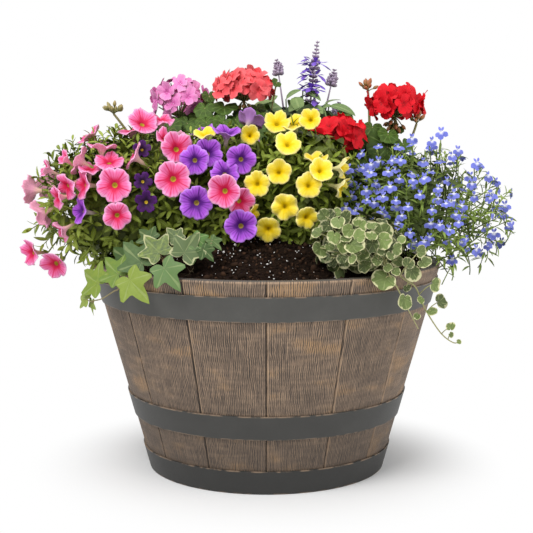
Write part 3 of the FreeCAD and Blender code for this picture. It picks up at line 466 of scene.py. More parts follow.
class Nodes:
    """The node tree of a material or of the world."""

    def __init__(self, owner):
        owner.use_nodes = True
        self.tree = owner.node_tree

    def put(self, socket, value):
        """Link a Term to a socket, or set its value."""
        if isinstance(value, Term):
            self.tree.links.new(value.socket, socket)
        elif hasattr(value, "__len__") and len(value) == 3 and socket.type == "RGBA":
            socket.default_value = (*value, 1.0)
        else:
            socket.default_value = value

    def node(self, kind, settings=None, inputs=None, output=0):
        """A node of a kind with its settings, then its input values or links; gives one output."""
        made = self.tree.nodes.new(kind)
        for name, value in (settings or {}).items():
            if name == "stops":
                self.set_stops(made.color_ramp, value)
            else:
                setattr(made, name, value)
        for name, value in (inputs or {}).items():
            self.put(made.inputs[name], value)
        return Term(self, made.outputs[output])

    def set_stops(self, ramp, stops):
        """Stops of a colour ramp, from place and colour pairs."""
        while len(ramp.elements) < len(stops):
            ramp.elements.new(1.0)
        for element, (place, colour) in zip(ramp.elements, stops):
            element.position = place
            element.color = (*colour, 1.0)

    def seen(self):
        """1 where the camera looks straight, by a mirror image or through glass, else 0."""
        rays = self.tree.nodes.new("ShaderNodeLightPath").outputs
        straight, mirrored, through = (Term(self, rays[kind]) for kind in SEEN_RAYS)
        return (straight + mirrored + through).math("MINIMUM", 1.0)

    def surface(self, output, factor, one, other):
        """Mix two shaders into the output node."""
        both = self.node("ShaderNodeMixShader", None, {0: factor, 1: one, 2: other})
        self.put(self.tree.nodes[output].inputs["Surface"], both)


class Finish(Nodes):
    """A material whose colours and bumps are worked out from nodes."""

    def __init__(self, name, roughness=0.6, shine=0.5):
        self.material = bpy.data.materials.new(name)
        super().__init__(self.material)
        self.shader = self.tree.nodes["Principled BSDF"]
        self.shader.inputs["Roughness"].default_value = roughness
        self.shader.inputs["Specular IOR Level"].default_value = shine

    def ramp(self, value, stops):
        """Colour looked up along a ramp."""
        return self.node("ShaderNodeValToRGB", {"stops": stops}, {0: value})

    def mix(self, factor, one, other, kind="MIX"):
        """Colour between two colours."""
        settings = {"data_type": "RGBA", "blend_type": kind, "clamp_factor": True}
        return self.node("ShaderNodeMix", settings, {0: factor, 6: one, 7: other}, 2)

    def axes(self, vector):
        """The three parts of a vector."""
        return [self.node("ShaderNodeSeparateXYZ", None, {0: vector}, part) for part in range(3)]

    def vector(self, across, along, depth):
        """A vector from three parts."""
        return self.node("ShaderNodeCombineXYZ", None, {0: across, 1: along, 2: depth})

    def place(self):
        """Object coordinates."""
        return self.node("ShaderNodeTexCoord", None, None, "Object")

    def paint(self):
        """The piece's own painting coordinates, across and along."""
        across, along, _ = self.axes(self.node("ShaderNodeUVMap", {"uv_map": "paint"}))
        return across, along

    def tint(self):
        """The random number that each leaf, petal or grain carries."""
        return self.node("ShaderNodeAttribute", {"attribute_name": "tint"}, None, "Fac")

    def noise(self, vector, scale=1.0, detail=2.0):
        """Soft noise about 0.5."""
        return self.node("ShaderNodeTexNoise", None, {"Vector": vector, "Scale": scale, "Detail": detail})

    def mottle(self, scale, detail=3.0):
        """Soft noise over the piece."""
        return self.noise(self.place(), scale, detail)

    def streaks(self, across, along, depth, detail=2.0):
        """Soft noise stretched by the scales of its three parts."""
        return self.noise(self.vector(across, along, depth), detail=detail)

    def shades(self, value, colour, *stops):
        """One colour looked up along a ramp of places and factors of its depth."""
        return self.ramp(value, [(place, shade(colour, factor)) for place, factor in stops])

    def bump(self, height, strength, distance):
        """Raise the surface by a height."""
        inputs = {"Strength": strength, "Distance": distance, "Height": height}
        self.put(self.shader.inputs["Normal"], self.node("ShaderNodeBump", None, inputs))

    def done(self, colour, roughness=None):
        """Set the colour, and the roughness where it varies."""
        self.put(self.shader.inputs["Base Color"], colour)
        if roughness is not None:
            self.put(self.shader.inputs["Roughness"], roughness)
        return self.material


# Finishes


def shade(colour, factor):
    """A colour made lighter or darker by a factor."""
    return tuple(min(1.0, part * factor) for part in colour)


def between(one, other, share):
    """A colour between two others."""
    return tuple(a + (b - a) * share for a, b in zip(one, other))


def stave_finish(tub):
    """Combed wood: fine dark strokes along each stave over brown, with copper where it is rubbed."""
    finish = Finish("stave_wood", roughness=0.62, shine=0.35)
    across, back, height = finish.axes(finish.place())
    turn = across.math("ARCTAN2", back * -1.0)
    number = turn * (tub.staves / ROUND)
    stave = number.whole()
    inside = number.fraction()
    mean_radius = 0.22
    run = turn * mean_radius
    drift = finish.streaks(run * 90.0, height * 60.0, stave * 5.0) - 0.5
    line = run / tub.grain + drift * 1.7
    wave = line.off_middle() * 2.0
    comb = finish.streaks(line * 1.7 + stave * 17.0, height * 30.0, stave * 3.0, detail=1.0)
    fine = finish.streaks(line * 3.4 + stave * 7.0, height * 150.0, stave * 3.0, detail=1.0)
    brush = finish.streaks(run * 22.0, height * 150.0, stave, detail=3.0)
    patch = finish.streaks(run * 12.0, height * 26.0, stave * 4.0, detail=3.0)
    tone = finish.node("ShaderNodeTexWhiteNoise", {"noise_dimensions": "1D"}, {"W": stave})
    ground = patch * 0.6 + brush * 0.4 + (tone - 0.5) * 0.06
    colour = finish.ramp(ground, (
        (0.32, between(tub.dark, tub.brown, 0.62)), (0.47, tub.brown),
        (0.6, between(tub.brown, tub.copper, 0.5)), (0.72, tub.copper)))
    ridge = wave * 0.34 + comb * 0.42 + fine * 0.24
    colour = finish.mix(ridge.ease(0.54, 0.7) * 0.75, colour, tub.copper)
    stroke = ridge.fade(0.34, 0.5)
    colour = finish.mix(stroke * 0.88, colour, tub.dark)
    colour = finish.mix(patch.ease(0.52, 0.66) * ridge.ease(0.4, 0.6) * 0.7, colour, tub.gold)
    near = inside * inside.fade(0.9, 0.96)
    rubbed = near.ease(0.008, 0.014) * near.fade(0.02, 0.036) * (patch * 0.5 + comb * 0.5).ease(0.3, 0.5)
    colour = finish.mix(rubbed * 0.85, colour, shade(tub.copper, 1.12))
    groove = (0.5 - (inside - 0.496).size()).fade(0.003, 0.011)
    colour = finish.mix(groove * 0.85, colour, shade(tub.dark, 0.5))
    # Painted shade: the staves darken towards the floor.
    painted_floor_shade = height.fade(-0.06, 0.2)
    colour = finish.mix(painted_floor_shade * 0.72, colour, shade(tub.dark, 1.15))
    rim_top = height.ease(0.3088, 0.3097)
    colour = finish.mix(rim_top * 0.75, colour, shade(tub.hoop, 1.1))
    rim_edge = height.ease(0.3056, 0.307) * height.fade(0.3088, 0.3098)
    colour = finish.mix(rim_edge * comb.ease(0.3, 0.6) * 0.6, colour, tub.copper)
    finish.bump(ridge, strength=0.6, distance=0.0016)
    return finish.done(colour, 0.74 - ground * 0.15)


def hoop_finish(tub, node, tone):
    """Matt dark paint darkened by tone, which on the hoops is painted shade towards the floor; mottled, with
    the copper undercoat rubbed through along the edges.
    """
    low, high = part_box(node)
    # For the hoops, tone is painted shade: the lower the hoop, the darker its paint.
    paint = shade(tub.hoop, tone)
    finish = Finish(f"{node}_paint", roughness=0.5)
    place = finish.place()
    height = finish.axes(place)[2]
    mottle = finish.noise(place, scale=26.0, detail=4.0)
    speck = finish.noise(place, scale=420.0, detail=2.0)
    colour = finish.shades(mottle * 0.7 + speck * 0.3, paint, (0.3, 0.82), (0.55, 1.0), (0.78, 1.25))
    upper = height.ease(high[2] - 0.0022, high[2] - 0.0006)
    lower = height.fade(low[2] + 0.0004, low[2] + 0.0016)
    worn = finish.noise(place, scale=70.0, detail=3.0).ease(0.4, 0.6)
    colour = finish.mix((upper * 0.7 + lower * 0.5) * worn, colour, shade(tub.copper, 0.8))
    finish.bump(speck * 0.6 + mottle * 0.4, strength=0.18, distance=0.0008)
    return finish.done(colour, 0.44 + speck * 0.22)


def board_finish(tub):
    """Plain sawn boards with a long grain along Y."""
    finish = Finish("head_board", roughness=0.75)
    across, back, height = finish.axes(finish.place())
    grain = finish.streaks(across * 260.0, back * 9.0, height * 260.0, detail=4.0)
    colour = finish.shades(grain, tub.brown, (0.3, 0.45), (0.7, 1.1))
    finish.bump(grain, strength=0.3, distance=0.0008)
    return finish.done(colour)


def earth_finish(name, earth, grit, threads=0.0):
    """Crumbly dark compost: grit is the lumps to the metre, threads the strength of pale roots in it."""
    finish = Finish(name, roughness=0.95, shine=0.08)
    place = finish.place()
    lumps = finish.noise(place, scale=grit, detail=6.0)
    fibre = finish.noise(place, scale=grit * 4.0, detail=3.0)
    colour = finish.shades(lumps * 0.6 + fibre * 0.4, earth, (0.32, 0.35), (0.5, 1.0), (0.68, 2.4))
    if threads:
        for scale in (36.0, 61.0):
            thread = (finish.noise(place, scale, detail=1.0) - 0.5).size().fade(0.002, 0.009)
            colour = finish.mix(thread * threads, colour, (0.36, 0.29, 0.18))
    finish.bump(lumps, strength=0.9, distance=0.006)
    return finish.done(colour)


def crumb_finish(earth):
    """Bark crumbs of several browns."""
    finish = Finish("bark_crumb", roughness=0.95, shine=0.08)
    fleck = finish.mottle(900.0, detail=2.0)
    colour = finish.ramp(finish.tint() * 0.75 + fleck * 0.25, (
        (0.15, shade(earth, 0.6)), (0.5, shade(earth, 1.5)), (0.74, shade(earth, 3.2)),
        (0.93, (0.085, 0.043, 0.024))))
    return finish.done(colour)


def perlite_finish():
    """White porous grains."""
    finish = Finish("perlite_grain", roughness=0.85)
    pore = finish.mottle(1400.0, detail=2.0)
    colour = finish.ramp(pore, ((0.3, (0.45, 0.43, 0.4)), (0.55, (0.83, 0.82, 0.79))))
    return finish.done(colour)


def petal_finish(name, body, eye, throat, edge, back, veins):
    """Petunia petal: eye, dark throat that runs out in streaks and veins, and a paler edge.

    The painting coordinate along the petal is over 1 on the back.
    """
    finish = Finish(name, roughness=0.6, shine=0.2)
    around, out = finish.paint()
    tint = finish.tint()
    streak = finish.streaks(around * 75.0, out * 1.4, tint * 31.0)
    lobe = (around * 5.0 + 0.5).off_middle()
    reach = out + ((streak - 0.5) * 0.3 + (lobe - 0.25) * 0.24) * out.ease(0.16, 0.5)
    colour = finish.ramp(reach, (
        (0.0, shade(eye, 0.75)), (0.11, eye), (0.18, eye), (0.22, shade(throat, 0.8)), (0.35, throat),
        (0.53, between(throat, body, 0.65)), (0.72, body), (0.98, edge)))
    rib = lobe.fade(0.01, 0.07) * out.ease(0.12, 0.3) * out.fade(0.75, 1.1)
    net = (around * 25.0 + streak * 0.8).off_middle().fade(0.03, 0.2)
    net = net * out.ease(0.15, 0.35) * out.fade(0.6, 1.05)
    colour = finish.mix(rib * veins + net * veins * 0.8, colour, throat)
    grain = finish.streaks(around * 34.0, out * 0.6, tint * 9.0)
    under = finish.shades(grain, back, (0.35, 0.82), (0.65, 1.0))
    under = finish.mix(out.ease(1.5, 1.85), under, between(back, (0.42, 0.44, 0.12), 0.6))
    colour = finish.mix(out.over(1.04), colour, under)
    depth = finish.ramp(tint, ((0.0, (0.62, 0.52, 0.58)), (0.5, WHITE)))
    colour = finish.mix(0.25, colour, depth, "MULTIPLY")
    finish.bump(streak + rib * -0.6, strength=0.3, distance=0.0008)
    return finish.done(colour)


def blade_finish(name, green, rib_share=0.5, gloss=0.5):
    """Leaf: mottled green, pale midrib; tint runs from old leaves darkened by painted shade to young bright
    ones lit by painted light.
    """
    finish = Finish(name, roughness=gloss, shine=0.25)
    across, along = finish.paint()
    tint = finish.tint()
    mottle = finish.mottle(160.0)
    colour = finish.ramp(tint * 0.78 + mottle * 0.22, (
        (0.08, shade(green, 0.16)), (0.34, shade(green, 0.62)), (0.58, shade(green, 1.2)),
        (0.9, between(shade(green, 2.0), (0.42, 0.46, 0.14), 0.4))))
    middle = (across - 0.5).size()
    rib = middle.fade(0.03, 0.11) * rib_share * tint.ease(0.1, 0.5)
    colour = finish.mix(rib, colour, between(shade(green, 1.9), (0.45, 0.5, 0.24), 0.4))
    side_vein = (along * 9.0 + middle * 3.0).off_middle()
    finish.bump(side_vein.ease(0.3, 0.5) * -1.0 - rib, strength=0.35, distance=0.0008)
    return finish.done(colour, gloss + (mottle - 0.5) * 0.2)


def zonal_finish(green):
    """Round geranium leaf: a darker zone between the middle and the edge, and veins out from the stalk."""
    finish = Finish("geranium_leaf", roughness=0.6, shine=0.25)
    around, out = finish.paint()
    tint = finish.tint()
    mottle = finish.mottle(130.0)
    colour = finish.shades(tint * 0.6 + mottle * 0.4, green, (0.2, 0.55), (0.5, 1.0), (0.8, 1.75))
    zone = out.ease(0.34, 0.52) * out.fade(0.62, 0.8)
    colour = finish.mix(zone * 0.42, colour, shade(green, 0.4))
    vein = (around * 9.0 + 0.5).off_middle().fade(0.03, 0.13)
    pale = between(shade(green, 2.0), (0.4, 0.5, 0.2), 0.3)
    colour = finish.mix(vein * 0.42 * out.fade(0.75, 1.0), colour, pale)
    colour = finish.mix(out.over(1.04) * 0.5, colour, shade(green, 1.9))
    finish.bump(vein * -1.0 + mottle * 0.5, strength=0.4, distance=0.001)
    return finish.done(colour)


def edged_finish(name, green, cream, margin):
    """Variegated leaf: green in the middle, and cream from a wavy margin outwards."""
    finish = Finish(name, roughness=0.55, shine=0.3)
    around, out = finish.paint()
    tint = finish.tint()
    mottle = finish.mottle(210.0)
    colour = finish.shades(tint * 0.6 + mottle * 0.4, green, (0.2, 0.35), (0.5, 1.0), (0.8, 1.8))
    vein = (around * 7.0 + 0.5).off_middle().fade(0.02, 0.1)
    colour = finish.mix(vein * 0.4 * out.fade(0.8, 1.0), colour, between(shade(green, 1.9), cream, 0.35))
    wave = finish.streaks(around * 9.0, tint * 40.0, 0.0, detail=3.0)
    folded = 1.0 - (out - 1.0).size()
    patchy = (0.55 + mottle * 0.7).math("MINIMUM", 1.0)
    pale = (folded + (wave - 0.5) * 1.1).ease(margin, margin + 0.1) * patchy
    colour = finish.mix(pale, colour, finish.mix(tint.ease(0.0, 0.5), shade(cream, 0.55), cream))
    finish.bump(vein * -0.6 + mottle * 0.4, strength=0.35, distance=0.0009)
    return finish.done(colour)


def ivy_finish(trail):
    """Ivy leaf: dark to bright green by its tint, pale veins to the lobes, and a cream edge on the palest."""
    finish = Finish("ivy_leaf", roughness=0.55, shine=0.3)
    around, out = finish.paint()
    tint = finish.tint()
    mottle = finish.mottle(190.0)
    colour = finish.ramp(tint + (mottle - 0.5) * 0.16, (
        (0.1, shade(trail.ivy, 0.45)), (0.3, between(trail.ivy, (0.14, 0.19, 0.08), 0.5)),
        (0.42, shade(trail.ivy, 1.1)), (0.56, (0.19, 0.26, 0.035)), (0.66, (0.24, 0.31, 0.05)),
        (0.74, (0.085, 0.125, 0.045))))
    lobe = (around * 6.2 + 0.5).off_middle()
    vein = lobe.fade(0.03, 0.09) * out.fade(0.85, 1.0)
    colour = finish.mix(vein * 0.3, colour, (0.38, 0.44, 0.2))
    wave = finish.streaks(around * 11.0, tint * 40.0, 0.0, detail=3.0)
    edge = (out + (wave - 0.5) * 0.6).ease(0.88, 0.98) * (1.0 - out.over(1.2)) * tint.over(0.7)
    colour = finish.mix(edge * 0.6, colour, trail.cream)
    finish.bump(vein * -0.8 + mottle * 0.3, strength=0.4, distance=0.001)
    return finish.done(colour)


def floret_finish(name, colour, eye, back):
    """Small petal: an eye at its foot, fine streaks, and a tone that changes from petal to petal, painted
    shade on the lower florets of geranium heads.
    """
    finish = Finish(name, roughness=0.6, shine=0.2)
    across, along = finish.paint()
    tint = finish.tint()
    out = 1.0 - (along - 1.0).size()
    streak = finish.streaks(across * 30.0, out * 2.0, tint * 40.0)
    petal = finish.ramp(tint * 0.5 + streak * 0.3 + out * 0.2, (
        (0.15, shade(colour, 0.62)), (0.5, colour), (0.85, between(colour, back, 0.5))))
    petal = finish.mix(out.ease(0.6, 1.0) * 0.4, petal, between(colour, back, 0.7))
    petal = finish.mix(out.fade(0.08, 0.42), petal, eye)
    finish.bump(streak, strength=0.3, distance=0.0006)
    return finish.done(petal)


def stem_finish(name, low, high):
    """Stem or bud: changes from one colour to another along its length and from stem to stem."""
    finish = Finish(name, roughness=0.55)
    along = finish.paint()[1]
    mottle = finish.mottle(240.0, detail=2.0)
    return finish.done(finish.mix(along * 0.6 + mottle * 0.3 + finish.tint() * 0.2, low, high))


# Surfaces


def unit(vectors):
    """Vectors scaled to length one."""
    return vectors / np.maximum(np.linalg.norm(vectors, axis=-1, keepdims=True), TINY)


def cross_frame(way, steep=0.9):
    """Two unit vectors square to each way and to each other."""
    helper = np.where(np.abs(way[..., 2:]) < steep, UP, BACK)
    side = unit(np.cross(way, helper))
    return side, np.cross(side, way)


def leaf_frame(way, face):
    """Unit vectors along a leaf, to its side and out of its face."""
    along = unit(way)
    side = unit(np.cross(along, face))
    return along, side, np.cross(side, along)


def circle(steps):
    """Even angles once round."""
    return np.linspace(0.0, ROUND, steps, endpoint=False)


def spokes_at(turn, side, up):
    """Unit vectors at angles in the planes of side and up."""
    return np.cos(turn)[..., None] * side + np.sin(turn)[..., None] * up


def on_ball(level, turn):
    """Unit vectors at a height between -1 and 1 and an angle round the upright axis."""
    ring = np.sqrt(1 - level ** 2)
    return np.stack((ring * np.cos(turn), ring * np.sin(turn), level), axis=1)


def each(value, count, axes):
    """One value for each of count things, with further axes to spread over."""
    return np.broadcast_to(value, (count,)).reshape((count,) + (1,) * axes)


def spanned(base, *spans):
    """Grids of points: each base moved by grids of distances along its own unit vectors."""
    grid = base[:, None, None]
    for distance, way in spans:
        grid = grid + distance[..., None] * way[:, None, None]
    return grid


def put_in_scene(name, data):
    """A new object in the scene."""
    thing = bpy.data.objects.new(name, data)
    bpy.context.scene.collection.objects.link(thing)
    return thing


class Skin:
    """Gathers closed surfaces, each a grid whose first and last rows are single points, into one mesh."""

    def __init__(self):
        self.points = []
        self.tints = []
        self.rims = []
        self.faces = {3: [], 4: []}
        self.marks = {3: [], 4: []}
        self.total = 0

    def add(self, grid, around, along, tint, rim=False):
        """Surfaces of one kind: grid is surfaces by rows by columns by 3, the columns closed.

        around and along are the painting coordinates of the columns, with one more for the seam, and of the
        rows. rim marks the points whose joining edges stay sharp.
        """
        count, rows, columns = grid.shape[:3]
        rings = grid[:, 1:-1].reshape(count, -1, 3)
        points = np.concatenate((grid[:, 0, :1], rings, grid[:, -1, :1]), axis=1)
        number = np.zeros((rows, columns + 1), int)
        number[1:-1] = 1 + np.arange(rows - 2)[:, None] * columns + np.arange(columns + 1) % columns
        number[-1] = points.shape[1] - 1
        paint = np.stack(np.broadcast_arrays(around, along[:, None]), axis=-1)
        paint[[0, -1], :-1, 0] = (around[:-1] + around[1:]) / 2
        fans, strips = self.corners(number)
        fan_marks, strip_marks = self.corners(paint)
        inward = self.volumes(points, fans, strips) < 0
        starts = self.total + np.arange(count) * points.shape[1]
        for corners, marks in ((fans, fan_marks), (strips, strip_marks)):
            sides = corners.shape[1]
            every = starts[:, None, None] + corners
            every[inward] = every[inward][:, :, ::-1]
            painted = np.broadcast_to(marks, (count,) + marks.shape).copy()
            painted[inward] = painted[inward][:, :, ::-1]
            self.faces[sides].append(every.reshape(-1, sides))
            self.marks[sides].append(painted.reshape(-1, sides, 2))
        rim = np.broadcast_to(rim, (rows, columns))
        rims = np.concatenate((rim[0, :1], rim[1:-1].reshape(-1), rim[-1, :1]))
        self.points.append(points.reshape(-1, 3))
        self.rims.append(np.tile(rims, count))
        self.tints.append(np.repeat(np.broadcast_to(tint, (count,)), points.shape[1]))
        self.total += count * points.shape[1]

    def corners(self, grid):
        """Values at the corners of the three-sided faces at the ends of a grid, and of the others."""
        low = np.stack((grid[0, :-1], grid[1, 1:], grid[1, :-1]), axis=1)
        high = np.stack((grid[-1, :-1], grid[-2, :-1], grid[-2, 1:]), axis=1)
        strips = np.stack((grid[1:-2, :-1], grid[1:-2, 1:], grid[2:-1, 1:], grid[2:-1, :-1]), axis=2)
        return np.concatenate((low, high)), strips.reshape((-1,) + strips.shape[2:])

    def volumes(self, points, fans, strips):
        """Signed volume of each closed surface, from the tetrahedra between its faces and its middle."""
        centred = points - points.mean(axis=1, keepdims=True)
        triangles = np.concatenate((fans, strips[:, (0, 1, 2)], strips[:, (0, 2, 3)]))
        one, two, three = (centred[:, triangles[:, corner]] for corner in range(3))
        return (one * np.cross(two, three)).sum(axis=(1, 2))

    def build(self, name, body, finish, slot, *nodes):
        """The mesh as a piece that rides on a body and stands for CAD nodes."""
        points = np.concatenate(self.points)
        faces = [np.concatenate(self.faces[sides]) for sides in (3, 4)]
        marks = np.concatenate([np.concatenate(self.marks[sides]).reshape(-1, 2) for sides in (3, 4)])
        sizes = np.repeat((3, 4), [len(group) for group in faces])
        corners = np.concatenate([group.reshape(-1) for group in faces])
        mesh = bpy.data.meshes.new(name)
        mesh.vertices.add(len(points))
        mesh.vertices.foreach_set("co", points.astype(np.float32).reshape(-1))
        mesh.loops.add(len(corners))
        mesh.loops.foreach_set("vertex_index", corners.astype(np.int32))
        mesh.polygons.add(len(sizes))
        mesh.polygons.foreach_set("loop_start", (np.cumsum(sizes) - sizes).astype(np.int32))
        mesh.polygons.foreach_set("use_smooth", np.ones(len(sizes), bool))
        mesh.uv_layers.new(name="paint").uv.foreach_set("vector", marks.astype(np.float32).reshape(-1))
        tint = mesh.attributes.new("tint", "FLOAT", "POINT")
        tint.data.foreach_set("value", np.concatenate(self.tints).astype(np.float32))
        mesh.update(calc_edges=True)
        ends = np.empty(len(mesh.edges) * 2, np.int32)
        mesh.edges.foreach_get("vertices", ends)
        rims = np.concatenate(self.rims)[ends.reshape(-1, 2)].all(axis=1)
        mesh.attributes.new("sharp_edge", "BOOLEAN", "EDGE").data.foreach_set("value", rims)
        mesh.materials.append(finish)
        piece = put_in_scene(name, mesh)
        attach(piece, body)
        if nodes:
            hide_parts(*nodes)


def outline(share, widest, fullness):
    """Half width of a blade along its length: a sine arch with its top at widest, blunted by fullness."""
    return np.sin(np.pi * share ** (math.log(0.5) / math.log(widest))) ** fullness


def blades(skin, base, way, face, length, width, tint, bend=0.5, cup=0.15, widest=0.42, fullness=0.8, rows=7):
    """Leaves or petals: a flat lens of four edges carried along an arc.

    The arc leaves base along way and bends away from face. At each step the left and right edges stand half
    the width off the arc, lifted by cup, and the upper and under ridges stand half the thickness off it.
    """
    count = len(base)
    share = np.linspace(0.0, 1.0, rows)
    half = outline(share, widest, fullness)
    half[[0, -1]] = 0.0
    along, side, up = leaf_frame(way, face)
    length = each(length, count, 1)
    half_width = each(width, count, 1) / 2 * half
    bend = each(bend, count, 1)
    least_bend = 0.02
    bent = np.where(np.abs(bend) < least_bend, least_bend, bend)
    angle = bent * share
    forward = length * np.sin(angle) / bent
    drop = -length * (1 - np.cos(angle)) / bent
    thickness = (0.012 * length + half_width * 0.03) * (half > 0)
    across = np.stack((-half_width, half_width * 0, half_width, half_width * 0), axis=2)
    lift = np.stack((half_width * cup, thickness, half_width * cup, -thickness), axis=2)
    run = forward[..., None] + lift * np.sin(angle)[..., None]
    rise = drop[..., None] + lift * np.cos(angle)[..., None]
    grid = spanned(base, (across, side), (run, along), (rise, up))
    skin.add(grid, np.array((0.0, 0.5, 1.0, 0.5, 0.0)), share, tint, rim=(True, False, True, False))


def round_blades(skin, base, way, face, radius, tint, shape, cup=0.25, ripple=0.05, spokes=30, bunch=1.0):
    """Round or lobed leaves: polar rings about the stalk's joint, whose radius follows the outline's table.

    The row at 1 is the rim; the rows before it are the upper side and those after it the under side. The
    height is cup times the square of the distance, with a ripple that grows towards the edge. Bunch over 1
    draws the spokes together towards the tip.
    """
    count = len(base)
    step = np.linspace(-1.0, 1.0, spokes, endpoint=False)
    turn = math.pi * np.sign(step) * np.abs(step) ** bunch
    table = np.array(shape)
    reach = np.interp(np.abs(np.degrees(turn)), table[:, 0], table[:, 1])
    rings, sink, marks = LEAF_ROWS.T
    along, side, up = leaf_frame(way, face)
    radius = each(radius, count, 2)
    distance = radius * rings[None, :, None] * reach
    forward = distance * np.cos(turn)
    across = distance * np.sin(turn)
    share = distance / radius
    waves = ripple * np.sin(turn * 5 + np.arange(count)[:, None, None]) * share ** 2
    crease = 0.1 * np.abs(np.sin(turn)) * share
    rise = radius * (crease - each(cup, count, 2) * share ** 2 + waves - sink[None, :, None])
    grid = spanned(base, (across, side), (forward, along), (rise, up))
    skin.add(grid, np.linspace(0.0, 1.0, spokes + 1), marks, tint, rim=(marks == 1.0)[:, None])


def tubes(skin, paths, radius, tint, sides=5):
    """Stems and buds: a ring of one radius, or one for each step, along each path, closed at both ends."""
    steps = paths.shape[1]
    along = unit(np.gradient(paths, axis=1))
    rise = np.abs(along.mean(axis=1, keepdims=True)[..., 2:])
    side = unit(np.cross(along, np.where(rise < 0.8, UP, BACK)))
    up = np.cross(side, along)
    ring = spokes_at(circle(sides), side[:, :, None], up[:, :, None])
    widths = np.broadcast_to(radius, (len(paths), steps))
    grid = paths[:, :, None] + widths[..., None, None] * ring
    ends = np.broadcast_to(paths[:, (0, -1), None], (len(paths), 2, sides, 3))
    grid = np.concatenate((ends[:, :1], grid, ends[:, 1:]), axis=1)
    marks = np.concatenate(((0.0,), np.linspace(0.0, 1.0, steps), (1.0,)))
    skin.add(grid, np.linspace(0.0, 1.0, sides + 1), marks, tint)


def stalks(skin, base, tip, bow, radius, tint, steps=5, sides=5):
    """Bowed stems from base to tip."""
    tubes(skin, bowed(base, tip, bow, np.linspace(0, 1, steps)), radius, tint, sides)


def bowed(base, tip, bow, share):
    """Points at shares of curves that leave base, pull towards their middle moved by bow, and end at tip."""
    control = (base + tip) / 2 + bow
    part = np.asarray(share)[..., None]
    rest = 1 - part
    return rest ** 2 * base[:, None] + 2 * rest * part * control[:, None] + part ** 2 * tip[:, None]


def trumpets(skin, foot, facing, diameter, length, tint, rng, notch=0.13, columns=40):
    """Petunia blooms: the profile turned about each axis; five notches in the limb, which waves."""
    count = len(foot)
    mark, radius, height = PETUNIA_PROFILE.T
    axis = unit(facing)
    side, up = cross_frame(axis)
    turn = circle(columns)
    lobe = np.abs(np.cos(2.5 * turn))
    weight = (radius ** 2)[:, None]
    start = each(rng.uniform(0, ROUND, count), count, 2)
    wave = each(rng.uniform(0.05, 0.14, count), count, 2)
    lean = each(rng.uniform(0.0, 0.16, count), count, 2)
    cupped = each(rng.uniform(-0.08, 0.12, count), count, 2)
    frill = each(rng.uniform(0.01, 0.035, count), count, 2) * np.cos(15 * turn + start)
    reach = radius[:, None] * (1 - (notch * (1 - lobe) ** 2 - frill) * weight)
    lift = weight * (wave * (2 * lobe - 1.2) + lean * np.sin(turn + start) + cupped + frill)
    width = each(diameter, count, 2) / 2
    rise = each(length, count, 2) * (height[:, None] + lift)
    angle = turn + start
    sideways = width * reach * np.cos(angle)
    upward = width * reach * np.sin(angle)
    grid = spanned(foot, (sideways, side), (upward, up), (rise, axis))
    skin.add(grid, np.linspace(0.0, 1.0, columns + 1), mark, tint)


def lumps(skin, place, size, tint, rng, sides=6):
    """Crumbs and grains: small uneven balls, squashed and turned at random."""
    count = len(place)
    level = np.array((-1.0, -0.55, 0.1, 0.65, 1.0))
    girth = np.sqrt(1 - level ** 2)[:, None]
    turn = circle(sides)
    ball = np.stack((girth * np.cos(turn), girth * np.sin(turn), level[:, None] + turn * 0), axis=2)
    uneven = 1 + rng.uniform(-0.25, 0.25, (count, len(level), sides, 1))
    uneven[:, (0, -1)] = 1
    stretch = rng.uniform(0.45, 1.0, (count, 1, 1, 3))
    way = unit(rng.normal(size=(count, 3)))
    side, up = cross_frame(way)
    local = ball * uneven * stretch * each(size, count, 3) / 2
    grid = place[:, None, None] + np.einsum("nrci,nij->nrcj", local, np.stack((side, up, way), axis=1))
    skin.add(grid, np.linspace(0.0, 1.0, sides + 1), np.linspace(0.0, 1.0, len(level)), tint)


# Places


def triangles_of(*nodes):
    """Corners of the CAD nodes' triangles: triangles by 3 corners by 3."""
    found = []
    for node in nodes:
        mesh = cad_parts[node].data
        points = np.empty(len(mesh.vertices) * 3, np.float32)
        mesh.vertices.foreach_get("co", points)
        mesh.calc_loop_triangles()
        corners = np.empty(len(mesh.loop_triangles) * 3, np.int32)
        mesh.loop_triangles.foreach_get("vertices", corners)
        found.append(points.reshape(-1, 3)[corners.reshape(-1, 3)].astype(float))
    return np.concatenate(found)


def surface_area(node):
    """Area of a CAD node's surface."""
    corners = triangles_of(node)
    spans = np.cross(corners[:, 1] - corners[:, 0], corners[:, 2] - corners[:, 0])
    return np.linalg.norm(spans, axis=1).sum() / 2


def surface_points(node, count, rng):
    """Random points of a mound's surface with their normals, by area; faces that look down get fewer."""
    corners = triangles_of(node)
    normal = np.cross(corners[:, 1] - corners[:, 0], corners[:, 2] - corners[:, 0])
    area = np.linalg.norm(normal, axis=1)
    normal = unit(normal)
    weight = area * np.where(normal[:, 2] < -0.5, 0.45, 1.0)
    chosen = rng.choice(len(area), count, p=weight / weight.sum())
    one = np.sqrt(rng.random((count, 1)))
    two = rng.random((count, 1))
    spot = corners[chosen]
    points = (1 - one) * spot[:, 0] + one * (1 - two) * spot[:, 1] + one * two * spot[:, 2]
    return points, normal[chosen]


def thinned(points, gap):
    """Indices of points kept in turn, so that none lies closer than gap to an earlier one."""
    kept = [0]
    for index in range(1, len(points)):
        if np.linalg.norm(points[kept] - points[index], axis=1).min() > gap:
            kept.append(index)
    return np.array(kept)


def spread_points(node, count, gap, rng):
    """Random points of a mound's surface with their normals, none closer than gap to another."""
    points, normals = surface_points(node, count, rng)
    kept = thinned(points, gap)
    return points[kept], normals[kept]


def tree_of(*nodes):
    """Search tree of the CAD nodes' surfaces."""
    corners = triangles_of(*nodes)
    faces = np.arange(len(corners) * 3).reshape(-1, 3)
    return BVHTree.FromPolygons(corners.reshape(-1, 3).tolist(), faces.tolist())


